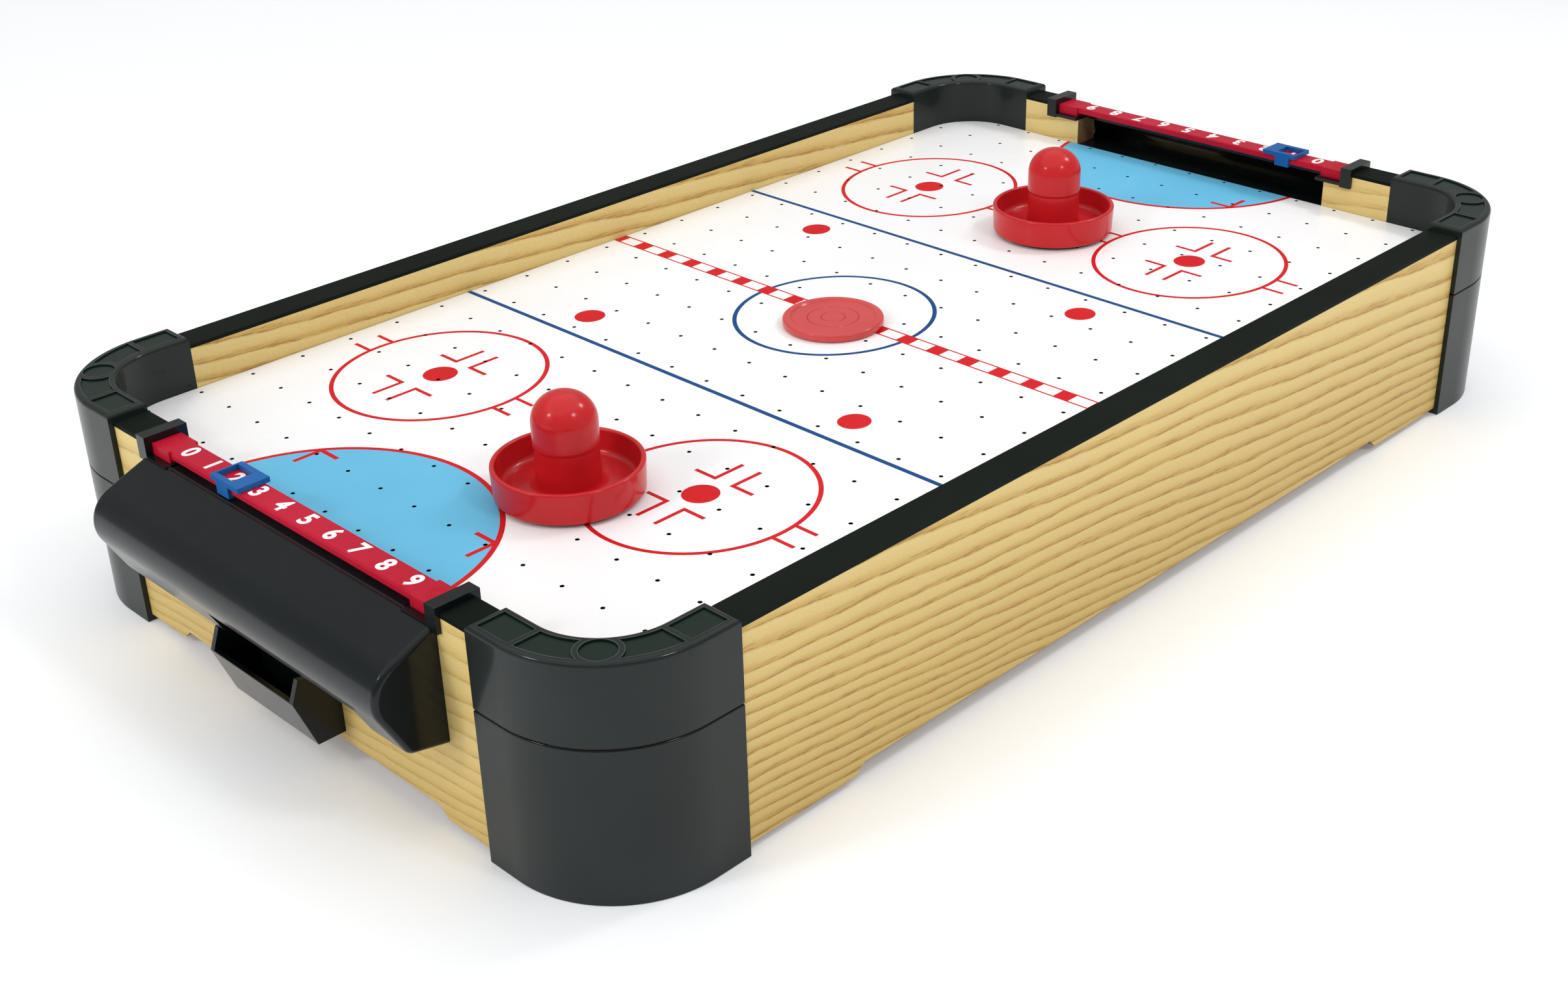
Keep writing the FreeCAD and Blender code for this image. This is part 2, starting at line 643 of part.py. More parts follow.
def puck_pocket(label, turn):
    """A trough under the hood that catches the puck on its edge."""
    body = new_body(label)
    face = "-body_length/2"
    profile = [(face, "pocket_bottom"), (face, "pocket_rear_up"),
               (f"{face}-hood_toe_out", "hood_toe_up-fit_gap"),
               (f"{face}-pocket_lip_out", "pocket_lip_up"),
               (f"{face}-pocket_toe_out", "pocket_bottom")]
    sketch = sketch_on(body, "XZ_Plane")
    outline(sketch, profile)
    pad(body, sketch, "2*pocket_half", both_sides=True)
    hollow = sketch_on(body, "XZ_Plane")
    skin = "pocket_skin"
    ahead, above = f"({face}-hood_nose_out)", "(hood_toe_up+1)"
    outline(hollow, [(f"{face}-{skin}", f"pocket_bottom+{skin}"),
                     (f"{face}-{skin}", above), (ahead, above),
                     (ahead, "pocket_lip_up+2"),
                     (f"{face}-pocket_lip_out+{skin}", "pocket_lip_up"),
                     (f"{face}-pocket_toe_out+{skin}*0.8", f"pocket_bottom+{skin}")])
    pocket(body, hollow, f"2*(pocket_half-{skin})", both_sides=True)
    return node(body, turn)


def bar_bracket(label, side, turn):
    """An L-shaped clip in the wall's notch that wraps the wall and holds an end of the bar."""
    def piece(name, low_y, high_y, low_z, height, lap="bracket_lap"):
        y = f"goal_shift+{low_y}" if side == "left" else f"goal_shift-({high_y})"
        return block(f"{label}_{name}", (f"-body_length/2-{lap}", y, low_z),
                     (f"wall_thick+2*{lap}", f"{high_y}-({low_y})", height))

    inner = "(bar_half+bar_gap)"
    post = piece("post", inner, "notch_half", "bracket_bottom", "bracket_top-bracket_bottom")
    shelf = piece("shelf", "shelf_inner", f"({inner}+shelf_thick)", "notch_floor", "shelf_thick")
    slot = piece("slot", f"({inner}-1)", "notch_half", "bracket_bottom-1",
                 "notch_floor-bracket_bottom+1", "0")
    return node(cut(label, fuse(f"{label}_arms", post, shelf), slot), turn)


def score_bar(label, turn):
    """A flat bar with a thicker block at each end."""
    middle = "(-body_length/2+wall_thick/2)"
    rail = block(f"{label}_rail", (f"{middle}-bar_width/2", "goal_shift-bar_half",
                                     "bar_top-bar_thick"),
                 ("bar_width", "2*bar_half", "bar_thick"))
    blocks = [block(f"{label}_block_{side}", (f"{middle}-block_width/2", low, "block_bottom"),
                    ("block_width", "bar_half-block_start", "bar_top-block_bottom"))
              for side, low in (("right", "goal_shift-bar_half"),
                                ("left", "goal_shift+block_start"))]
    whole = fuse(f"{label}_sharp", rail, *blocks)
    top = number("bar_top")
    bar = rounded(label, whole, "bar_edge_round", lambda edge: level_at(edge, top)
                  and edge.BoundBox.YLength > 20)
    return node(bar, turn)


def score_slider(label, turn, digit):
    """A window frame that rides on the bar and clips under its edges."""
    middle = "(-body_length/2+wall_thick/2)"
    digit_place = f"((4.5-{digit})*digit_pitch+goal_shift)"
    place = f"({digit_place}-slider_offset)"
    low = "(bar_top+slider_gap)"
    plate = block(f"{label}_plate", (f"{middle}-slider_width/2", f"{place}-slider_length/2",
                                     low), ("slider_width", "slider_length", "slider_thick"))
    window = block(f"{label}_window", (f"{middle}-window_width/2",
                                       f"{digit_place}-window_length/2", f"{low}-1"),
                   ("window_width", "window_length", "slider_thick+2"))
    frame = cut(f"{label}_frame", plate, window)
    legs = []
    leg_low = f"({digit_place}-slider_leg_offset-slider_leg/2)"
    half = "(bar_width/2+slider_gap)"
    for side, start in (("outer", f"{middle}-{half}-slider_leg_thick"),
                        ("inner", f"{middle}+{half}")):
        legs.append(block(f"{label}_leg_{side}", (start, leg_low, "slider_leg_bottom"),
                          ("slider_leg_thick", "slider_leg", f"{low}-slider_leg_bottom+0.5")))
    for side, start in (("outer", f"{middle}-{half}-slider_leg_thick/2"),
                        ("inner", f"{middle}+{half}-slider_hook+slider_leg_thick/2")):
        legs.append(block(f"{label}_hook_{side}", (start, leg_low, "slider_leg_bottom"),
                          ("slider_hook", "slider_leg",
                           "bar_top-bar_thick-slider_gap-slider_leg_bottom")))
    return node(fuse(label, frame, *legs), turn)


def goals():
    for (end, turn), digit in zip(ENDS.items(), (2, 1)):
        goal_hood(f"goal_hood_{end}", turn)
        goal_sill(f"goal_sill_{end}", turn)
        puck_pocket(f"puck_pocket_{end}", turn)
        for side in ("left", "right"):
            bar_bracket(f"bar_bracket_{end}_{side}", side, turn)
        score_bar(f"score_bar_{end}", turn)
        score_slider(f"score_slider_{end}", turn, digit)


# ---------------------------------------------------------------- strikers and puck
def striker(end):
    """A round cup with a domed knob in the middle, hollow from below, on a felt ring."""
    at = (f"{end}_striker_x", f"{end}_striker_y")
    base = "(board_top+air_gap)"
    body = new_body(f"striker_{end}")
    sketch = sketch_on(body, "XZ_Plane")
    sole = f"{base}+pad_thick"
    bore = "(stem_radius-knob_skin)"
    outline(sketch, [(bore, sole), ("striker_foot_radius", sole),
                     ("striker_radius", f"{base}+striker_rim"),
                     ("(striker_radius-striker_rim_thick)", f"{base}+striker_rim"),
                     ("(striker_foot_radius-striker_rim_thick)", f"{base}+striker_floor"),
                     ("knob_radius", f"{base}+striker_floor"),
                     ("stem_radius", f"{base}+stem_top"),
                     ("knob_radius", f"{base}+stem_top+stem_step"),
                     ("knob_radius", f"{base}+knob_top"), ("0", f"{base}+knob_top"),
                     ("0", f"{base}+knob_top-knob_skin"),
                     (f"{bore}-bore_shoulder", f"{base}+knob_top-knob_skin"),
                     (bore, f"{base}+knob_top-knob_skin-bore_slope")])
    revolve(body, sketch)
    floor = number(f"{base}+striker_floor")
    soften(body, "floor_round", lambda edge: level_at(edge, floor))
    height = number(f"{base}+knob_top")
    soften(body, "knob_round", lambda edge: level_at(edge, height) and edge.Length > 10)
    brim = number(f"{base}+striker_rim")
    soften(body, "brim_round", lambda edge: level_at(edge, brim) and edge.Length > 10)
    foot = number(sole)
    reach = number("striker_foot_radius")
    soften(body, "sole_round", lambda edge: level_at(edge, foot)
           and close(edge.BoundBox.XMax, reach, 0.1))
    node(body, 0, at)
    felt = new_body(f"striker_felt_{end}")
    sketch = sketch_on(felt, "XY_Plane", base)
    ring(sketch, ("0", "0"), "pad_outer")
    ring(sketch, ("0", "0"), "pad_inner")
    pad(felt, sketch, "pad_thick")
    node(felt, 0, at)


def puck():
    body = new_body("puck")
    base = "(board_top+air_gap)"
    top = f"{base}+puck_thick"
    floor = f"{top}-puck_dish"
    sketch = sketch_on(body, "XZ_Plane")
    outline(sketch, [("0", base), ("puck_radius", base), ("puck_radius", top),
                     ("puck_ring", top), ("puck_ring-0.6", floor),
                     ("groove_outer+groove_width", floor),
                     ("groove_outer+groove_width/2", f"{floor}-groove_depth"),
                     ("groove_outer", floor), ("groove_inner+groove_width", floor),
                     ("groove_inner+groove_width/2", f"{floor}-groove_depth"),
                     ("groove_inner", floor), ("0", floor)])
    revolve(body, sketch)
    reach = number("puck_radius")
    soften(body, "puck_edge_round", lambda edge: edge.BoundBox.ZLength < 0.01
           and close(edge.BoundBox.XMax, reach))
    node(body, 0, ("puck_x", "puck_y"))


# ---------------------------------------------------------------- blower
PANEL_TOP = "(panel_bottom+panel_thick)"


def intake_grille():
    """A slotted disc under the intake."""
    disc = rod("grille_disc", ("0", "0", "panel_bottom-grille_thick"), "grille_radius",
               "grille_thick")
    slots = []
    for step in range(-5, 6):
        reach = f"sqrt((intake_radius-2)^2-({step}*slot_pitch)^2)"
        slots.append(block(f"grille_slot_{step + 5}",
                           (f"-{reach}", f"{step}*slot_pitch-slot_width/2",
                            "panel_bottom-grille_thick-1"),
                           (f"2*{reach}", "slot_width", "grille_thick+2")))
    node(cut("intake_grille", disc, group("grille_slots", *slots)))


def blower():
    ring_low = PANEL_TOP
    node(cut("fan_ring", rod("ring_outside", ("0", "0", ring_low), "intake_radius+ring_skin",
                             "ring_height"),
             rod("ring_inside", ("0", "0", f"{ring_low}-1"), "intake_radius",
                 "ring_height+2")))
    arm_low = "(motor_bottom-arm_thick)"
    arms = [block("bracket_arm_x", ("-arm_reach", "-arm_width/2", arm_low),
                  ("2*arm_reach", "arm_width", "arm_thick")),
            block("bracket_arm_y", ("-arm_width/2", "-arm_reach", arm_low),
                  ("arm_width", "2*arm_reach", "arm_thick"))]
    for index, (x, y) in enumerate((("-arm_reach", "-arm_width/2"),
                                    ("arm_reach-arm_thick", "-arm_width/2"),
                                    ("-arm_width/2", "-arm_reach"),
                                    ("-arm_width/2", "arm_reach-arm_thick"))):
        size = ("arm_thick", "arm_width") if index < 2 else ("arm_width", "arm_thick")
        arms.append(block(f"bracket_post_{index}", (x, y, PANEL_TOP),
                          (*size, f"{arm_low}-{PANEL_TOP}")))
    bracket = cut("motor_bracket", fuse("bracket_whole", *arms),
                  rod("bracket_hole", ("0", "0", f"{arm_low}-1"), "4", "arm_thick+2"))
    node(bracket)
    bored = "motor_bottom-1"
    node(cut("fan_motor", rod("motor_can", ("0", "0", "motor_bottom"), "motor_radius",
                              "motor_height"),
             rod("motor_bore", ("0", "0", bored), "shaft_radius+trunnion_gap", "11")))
    node(rod("motor_shaft", ("0", "0", "rotor_bottom+1"), "shaft_radius",
             "motor_bottom-rotor_bottom+7"))
    blades = []
    for index in range(BLADES):
        blade = doc.addObject("Part::Box", f"Blade{index}")
        bind(blade, Length="blade_reach-hub_radius+1", Width="blade_thick",
             Height="rotor_height")
        turn = FreeCAD.Rotation(V(0, 0, 1), 360 / BLADES * index)
        tilt = FreeCAD.Rotation(V(1, 0, 0), number("blade_tilt"))
        middle = V(0, number("blade_thick/2"), number("rotor_height/2"))
        centre = V(number("hub_radius-1"), 0, 0)
        blade.Placement = FreeCAD.Placement(
            turn.multVec(centre - tilt.multVec(middle))
            + V(0, 0, number("rotor_bottom+rotor_height/2")), turn * tilt)
        blades.append(blade)
    hub = rod("impeller_hub", ("0", "0", "rotor_bottom"), "hub_radius", "rotor_height")
    bore = rod("impeller_bore", ("0", "0", "rotor_bottom+1"), "shaft_radius",
               "rotor_height")
    node(cut("fan_impeller", fuse("impeller_whole", hub, *blades), bore))


# ---------------------------------------------------------------- batteries, switch, wiring
def battery_case():
    low_x, half_y = "(case_x-case_length/2)", "(case_width/2)"
    outside = block("case_outside", (low_x, f"-{half_y}", "rail_low"),
                    ("case_length", "case_width", "panel_bottom+case_height-rail_low"))
    room = block("case_room", (f"{low_x}+case_skin", f"-{half_y}+case_skin", "rail_low-1"),
                 ("case_length-2*case_skin", "case_width-2*case_skin",
                  "panel_bottom+case_height-rail_low+1-case_skin"))
    doorway = block("case_doorway", (f"{low_x}-1", f"-{half_y}+case_skin", "rail_low-1"),
                    ("case_length+2", "case_width-2*case_skin", "panel_bottom-rail_low+1"))
    hollow = cut("case_hollow", outside, room, doorway)
    rails = [block(f"case_rail_{index}", (low_x, y, "rail_low"),
                   ("case_length", "door_rail_width", "rail_thick"))
             for index, y in enumerate((f"-{half_y}+case_skin",
                                        f"{half_y}-case_skin-door_rail_width"))]
    node(fuse("battery_case", hollow, *rails))
    node(block("battery_door", (low_x, "-door_half", "rail_low+rail_thick+case_gap"),
               ("case_length", "2*door_half", "door_thick")))
    cell_start = f"({low_x}+case_skin+contact_thick)"
    cell_up = "(panel_bottom+battery_rise+battery_radius)"
    row = [f"({index}-1.5)*battery_pitch" for index in range(4)]
    node(group("battery_cells", *[
        turned_rod(f"cell_{index}", (cell_start, y, cell_up), "battery_radius",
                   "battery_length")
        for index, y in enumerate(row)]))
    plates = [block(f"contact_plate_{index}", (f"{low_x}+case_skin", f"{y}-contact_side/2",
                                               f"{cell_up}-contact_side/2"),
                    ("contact_thick", "contact_side", "contact_side"))
              for index, y in enumerate(row)]
    spring_start = f"({cell_start}+battery_length)"
    springs = [turned_rod(f"contact_spring_{index}", (spring_start, y, cell_up), "spring_radius",
                          f"{low_x}+case_length-case_skin-{spring_start}")
               for index, y in enumerate(row)]
    node(group("battery_contacts", *plates, *springs))


def turned_rod(label, base, radius, height):
    """A cylinder that lies along +X."""
    cylinder = rod(label, base, radius, height)
    cylinder.setExpression("Placement.Rotation.Axis.x", "0")
    cylinder.setExpression("Placement.Rotation.Axis.y", "1")
    cylinder.setExpression("Placement.Rotation.Axis.z", "0")
    cylinder.setExpression("Placement.Rotation.Angle", "90")
    return cylinder


def power_switch():
    """A rocker in a bezel that is pushed through the back wall."""
    face = "(body_width/2)"
    plate = block("bezel_plate", ("switch_x-switch_length/2", face,
                                  "switch_up-switch_height/2"),
                  ("switch_length", "bezel_thick", "switch_height"))
    tub = block("bezel_tub", ("switch_x-switch_length/2+1.2", f"{face}-switch_deep",
                              "switch_up-switch_height/2+1.2"),
                ("switch_length-2.4", "switch_deep", "switch_height-2.4"))
    room = block("bezel_room", ("switch_x-rocker_length/2-0.8", f"{face}-rocker_deep-1.5",
                                "switch_up-rocker_height/2-0.3"),
                 ("rocker_length+1.6", "rocker_deep+5", "rocker_height+0.6"))
    pivot = rod("bezel_pivot", ("switch_x", f"{face}-pivot_in", "switch_up-switch_height/2+2"),
                "trunnion_radius+trunnion_gap", "switch_height-4")
    node(cut("switch_bezel", fuse("bezel_whole", plate, tub), room, pivot))
    rocker = block("rocker_block", ("-rocker_length/2", "-rocker_deep+pivot_in+bezel_thick+rocker_stand",
                                    "-rocker_height/2"),
                   ("rocker_length", "rocker_deep", "rocker_height"))
    pins = rod("rocker_pins", ("0", "0", "-switch_height/2+2.3"), "trunnion_radius",
               "switch_height-4.6")
    whole = fuse("switch_rocker", rocker, pins)
    whole.Placement = FreeCAD.Placement(V(0, 0, 0),
                                        FreeCAD.Rotation(V(0, 0, 1), number("-rocker_tilt")))
    bind(whole, Placement__Base__x="switch_x", Placement__Base__y=f"{face}-pivot_in",
         Placement__Base__z="switch_up")
    nodes[whole.Label] = whole


def wire_run(points, radius):
    """A round wire along straight runs joined by tangent arcs."""
    edges = []
    start = points[0]
    for before, corner, after in zip(points, points[1:], points[2:]):
        into, out = (corner - before), (after - corner)
        half_turn = into.getAngle(out) / 2
        reach = 0.45 * min(into.Length, out.Length)
        into.normalize()
        out.normalize()
        first, last = corner - into * reach, corner + out * reach
        bend = reach / math.tan(half_turn)
        centre = corner + (out - into).normalize() * math.hypot(reach, bend)
        mid = centre + (corner - centre).normalize() * bend
        edges += [Part.LineSegment(start, first).toShape(), Part.Arc(first, mid, last).toShape()]
        start = last
    edges.append(Part.LineSegment(start, points[-1]).toShape())
    path = Part.Wire(edges)
    ring_edge = Part.Circle(points[0], points[1] - points[0], radius).toShape()
    return path.makePipeShell([Part.Wire([ring_edge])], True, True)


def wiring():
    """Battery to switch, switch to motor and battery to motor, inside the air chamber."""
    low_x = number("case_x-case_length/2")
    half_y = number("case_width/2")
    inner = number("body_width/2-switch_deep")
    can = number("motor_radius")
    up = number("motor_bottom")
    runs = [
        [V(low_x, -8, 20), V(74, -8, 20), V(60, -7, 26), V(46, -5, 38), V(32, -3, 42),
         V(can + 0.2, -3, 42)],
        [V(104, half_y, 20), V(104, 50, 20), V(106, 72, 23), V(112, 96, 29), V(116, 118, 33),
         V(116, inner, 34)],
        [V(124, inner, 36), V(124, 122, 36), V(112, 102, 37), V(88, 80, 38), V(64, 58, 40),
         V(42, 38, up + 11), V(26, 22, up + 13), V(can * 0.77, can * 0.67, up + 13)],
    ]
    for index, run in enumerate(runs):
        lead = doc.addObject("Part::Feature", f"Lead{index}")
        lead.Label = f"lead_{index}"
        lead.Shape = wire_run(run, number("wire_radius"))
    node(group("fan_wires", *[doc.getObject(f"Lead{index}") for index in range(len(runs))]))


def screws():
    hood = []
    for end, turn in ENDS.items():
        sign = -1 if end == "near" else 1
        for index, (side, z) in enumerate(((-1, "screw_low"), (-1, "screw_high"),
                                           (1, "screw_low"), (1, "screw_high"))):
            seat = f"({sign}*(body_length/2+hood_skin))"
            y = f"{side}*screw_y"
            low = seat if sign < 0 else f"({seat}-screw_length)"
            shank = turned_rod(f"hood_shank_{end}_{index}", (low, y, z), "screw_radius",
                               "screw_length")
            head_low = f"({seat}-screw_head_thick)" if sign < 0 else seat
            head = turned_rod(f"hood_head_{end}_{index}", (head_low, y, z), "screw_head",
                              "screw_head_thick")
            hood.append(fuse(f"hood_screw_{end}_{index}", shank, head))
    node(group("hood_screws", *hood))
    panel = []
    for index, (x, y) in enumerate(panel_screw_places()):
        shank = rod(f"panel_shank_{index}", (x, y, "panel_bottom"), "screw_radius",
                    "screw_length-2")
        head = rod(f"panel_head_{index}", (x, y, "panel_bottom-screw_head_thick"),
                   "screw_head", "screw_head_thick")
        panel.append(fuse(f"panel_screw_{index}", shank, head))
    node(group("panel_screws", *panel))
    cleats = []
    for side, y in ((-1, "-(body_width/2-wall_thick)"),
                    (1, "(body_width/2-wall_thick-cleat_side)")):
        stick = block(f"cleat_stick_{side}", ("-cleat_length/2", y, PANEL_TOP),
                      ("cleat_length", "cleat_side", "cleat_side"))
        holes = [rod(f"cleat_hole_{side}_{index}", (x, place, f"{PANEL_TOP}-1"),
                     "screw_radius", "screw_length-2-panel_thick+1")
                 for index, (x, place) in enumerate(panel_screw_places())
                 if place.startswith(f"{side}*")]
        cleats.append(cut(f"cleat_{side}", stick, group(f"cleat_holes_{side}", *holes)))
    node(group("panel_cleats", *cleats))


def write_parts():
    doc.recompute()
    os.makedirs("parts", exist_ok=True)
    failed = [item.Label for item in doc.Objects
              if "Invalid" in item.State or "Error" in item.State]
    failed += [label for label, item in nodes.items()
               if item.Shape.isNull() or not item.Shape.isValid() or not item.Shape.Solids]
    if failed:
        raise ValueError(f"these objects failed: {failed}")
    for label, item in nodes.items():
        item.Shape.exportStep(os.path.join("parts", f"{label}.step"))
    print(f"{len(nodes)} nodes")


wooden_frame()
playfield_board()
bottom_panel()
corner_posts()
goals()
striker("near")
striker("far")
puck()
intake_grille()
blower()
battery_case()
power_switch()
wiring()
screws()
write_parts()
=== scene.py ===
"""Looks of the tabletop air hockey table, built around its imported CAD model.

Metres, in the CAD model's frame: +X from the near goal to the far goal, +Y to the far long
side, +Z up, origin on the floor under the middle. Printed marks are laid out in millimetres.
"""

import json
import math

import bmesh
import bpy
from mathutils import Matrix, Vector, geometry


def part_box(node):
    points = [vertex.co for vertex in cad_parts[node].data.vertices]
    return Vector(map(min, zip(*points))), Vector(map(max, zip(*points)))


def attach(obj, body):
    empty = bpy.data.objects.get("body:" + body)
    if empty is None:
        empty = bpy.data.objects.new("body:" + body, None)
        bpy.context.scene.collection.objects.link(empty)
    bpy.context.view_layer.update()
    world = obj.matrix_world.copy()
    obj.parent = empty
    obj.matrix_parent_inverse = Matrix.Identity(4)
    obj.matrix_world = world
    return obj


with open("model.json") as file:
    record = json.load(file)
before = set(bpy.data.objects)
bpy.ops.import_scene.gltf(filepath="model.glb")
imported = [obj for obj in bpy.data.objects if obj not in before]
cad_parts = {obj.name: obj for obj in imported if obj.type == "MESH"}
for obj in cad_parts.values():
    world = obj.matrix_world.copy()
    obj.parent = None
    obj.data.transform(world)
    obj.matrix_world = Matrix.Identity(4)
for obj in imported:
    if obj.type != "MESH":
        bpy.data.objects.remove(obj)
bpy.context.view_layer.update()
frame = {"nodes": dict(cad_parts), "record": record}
MM = 0.001
ROOT = "table"


# ---------------------------------------------------------------- camera and light
CAMERA_PLACE = (-0.52230, -0.50092, 0.37107)
CAMERA_TURN = (62.1247, 1.4841, -45.1371)
CAMERA_LENS = 45.857


def make_camera():
    data = bpy.data.cameras.new("camera")
    data.lens = CAMERA_LENS
    data.sensor_width = 36
    data.clip_start = 0.01
    camera = bpy.data.objects.new("camera", data)
    camera.location = CAMERA_PLACE
    camera.rotation_euler = [math.radians(angle) for angle in CAMERA_TURN]
    bpy.context.scene.collection.objects.link(camera)
    bpy.context.scene.camera = camera


WORLD_STRENGTH = 0.40
LAMP_AIM, LAMP_SIZE, LAMP_BRIGHTNESS = (0, 0, 0.06), (0.16, 0.16), 24
# Each panel: name, place, the point it faces, size, brightness, and whether gloss mirrors it.
PANELS = (
    ("sky", (0.0, 0.1, 1.4), (0, 0, 0.05), (2.8, 2.2), 0.72, True),
    ("behind", (0.3, 1.5, 0.7), (0, 0, 0.06), (1.6, 0.7), 0.7, False),
    ("left", (-1.5, 0.3, 0.5), (-0.2, 0, 0.05), (0.7, 0.8), 3.2, False),
    ("right", (0.6, -1.5, 0.45), (0.1, -0.1, 0.04), (0.8, 0.8), 1.3, False),
    ("lamp_left", (-1.05, 0.20, 0.78), LAMP_AIM, LAMP_SIZE, LAMP_BRIGHTNESS, True),
    ("lamp_right", (-0.07, -0.90, 0.84), LAMP_AIM, LAMP_SIZE, LAMP_BRIGHTNESS, True),
    ("lamp_back", (0.65, -0.36, 0.83), LAMP_AIM, LAMP_SIZE, LAMP_BRIGHTNESS, True),
)


def area_light(name, place, aim, size, brightness, mirrored):
    """A white panel; its power follows from its size and how bright it looks."""
    data = bpy.data.lights.new(name, "AREA")
    data.shape = "RECTANGLE"
    data.size, data.size_y = size
    data.energy = brightness * math.pi * size[0] * size[1]
    light = bpy.data.objects.new(name, data)
    light.location = place
    light.visible_glossy = mirrored
    light.rotation_euler = (Vector(aim) - Vector(place)).to_track_quat("-Z", "Y").to_euler()
    bpy.context.scene.collection.objects.link(light)


def make_lights():
    world = bpy.data.worlds.new("studio")
    bpy.context.scene.world = world
    world.use_nodes = True
    background = world.node_tree.nodes["Background"]
    background.inputs["Color"].default_value = (1, 1, 1, 1)
    background.inputs["Strength"].default_value = WORLD_STRENGTH
    for panel in PANELS:
        area_light(*panel)
    bpy.context.scene.view_settings.view_transform = "Standard"
    bpy.context.scene.view_settings.look = "None"


# ---------------------------------------------------------------- materials
def linear(colour):
    """A colour of three 0 to 255 screen values as linear light."""
    values = [channel / 255 for channel in colour]
    return tuple(v / 12.92 if v <= 0.04045 else ((v + 0.055) / 1.055) ** 2.4 for v in values)


class Shader:
    """A Principled material with short ways to add nodes."""

    def __init__(self, name, roughness, **sockets):
        self.material = bpy.data.materials.new(name)
        self.material.use_nodes = True
        self.tree = self.material.node_tree
        self.surface = self.tree.nodes["Principled BSDF"]
        self.surface.inputs["Roughness"].default_value = roughness
        for socket, value in sockets.items():
            self.surface.inputs[socket.replace("_", " ")].default_value = value

    def node(self, kind, inputs=(), **settings):
        item = self.tree.nodes.new("ShaderNode" + kind)
        for name, value in settings.items():
            setattr(item, name, value)
        for name, value in dict(inputs).items():
            if isinstance(value, bpy.types.NodeSocket):
                self.tree.links.new(value, item.inputs[name])
            else:
                item.inputs[name].default_value = value
        return item

    def math(self, operation, first, second=0.0, third=0.0):
        inputs = {0: first, 1: second, 2: third}
        return self.node("Math", inputs, operation=operation).outputs[0]

    def place(self):
        """The point on the object, split into x, y and z."""
        point = self.node("TexCoord").outputs["Object"]
        return self.node("SeparateXYZ", {"Vector": point}).outputs

    def facing(self):
        """The direction the face looks in, split into x, y and z."""
        normal = self.node("NewGeometry").outputs["True Normal"]
        return self.node("SeparateXYZ", {"Vector": normal}).outputs

    def noise(self, scale, stretch=(1, 1, 1), detail=2.0, roughness=0.5):
        point = self.node("TexCoord").outputs["Object"]
        scaled = self.node("Mapping", {"Vector": point, "Scale": stretch}).outputs[0]
        texture = self.node("TexNoise", {"Vector": scaled, "Scale": scale, "Detail": detail,
                                         "Roughness": roughness})
        return texture.outputs["Fac"]

    def ramp(self, factor, stops):
        """Colours along a factor; a stop is (position, 0 to 255 colour)."""
        item = self.node("ValToRGB", {"Fac": factor})
        elements = item.color_ramp.elements
        while len(elements) < len(stops):
            elements.new(0.5)
        for element, (position, colour) in zip(elements, stops):
            element.position = position
            element.color = (*linear(colour), 1)
        return item.outputs["Color"]

    def mix(self, factor, first, second, blend="MIX"):
        """Two colours mixed; the Mix node keeps its colour sockets at 6, 7 and 2."""
        item = self.node("Mix", {0: factor, 6: first, 7: second}, data_type="RGBA",
                         blend_type=blend)
        return item.outputs[2]

    def set(self, socket, value):
        self.tree.links.new(value, self.surface.inputs[socket])

    def uneven_gloss(self, texture, spread, lowest):
        self.set("Roughness", self.math("MULTIPLY_ADD", texture, spread, lowest))

    def bump(self, height, distance):
        """Relief of a distance in millimetres."""
        item = self.node("Bump", {"Height": height, "Distance": distance * MM})
        self.set("Normal", item.outputs["Normal"])


MOTTLE_SCALE, GLOSS_SCALE, GRAIN_SCALE = 22, 60, 1500
GLOSS_SPREAD = 0.12


def moulded(name, colour, roughness, grain=0.02, variety=6, **sockets):
    """Moulded plastic: a slight mottle, a fine grain and an uneven gloss."""
    shader = Shader(name, roughness, **sockets)
    mottle = shader.noise(MOTTLE_SCALE, detail=3)
    darker = tuple(max(channel - variety, 0) for channel in colour)
    lighter = tuple(min(channel + variety, 255) for channel in colour)
    shader.set("Base Color", shader.ramp(mottle, [(0.3, darker), (0.7, lighter)]))
    gloss = shader.noise(GLOSS_SCALE, detail=4)
    shader.uneven_gloss(gloss, GLOSS_SPREAD, roughness - GLOSS_SPREAD / 2)
    shader.bump(shader.noise(GRAIN_SCALE, detail=3), grain)
    return shader


# The grain's lines slope along the wall, sway, wander, and spread apart with height.
LINES_PER_METRE, LINE_SPREAD, LINE_SLOPE = 255, -780, 0.082
SWAY_SCALE, SWAY_DEPTH, WANDER_SCALE, WANDER_DEPTH = 3.5, 0.020, 24, 0.0035
STREAK_SCALE, STREAK_DEPTH, DASH_SCALE = 1700, 0.22, 1500
# Dark pores fill part of the start of each line, and denser ones its very edge.
PORE_ZONE, PORE_LIMIT, PORE_DARKNESS = 0.26, 0.58, 0.55
EDGE_ZONE, EDGE_LIMIT, EDGE_DARKNESS = 0.07, 0.46, 0.8
# Below this height in millimetres a painted shade darkens the wall a little towards the floor.
SHADE_HEIGHT = 80


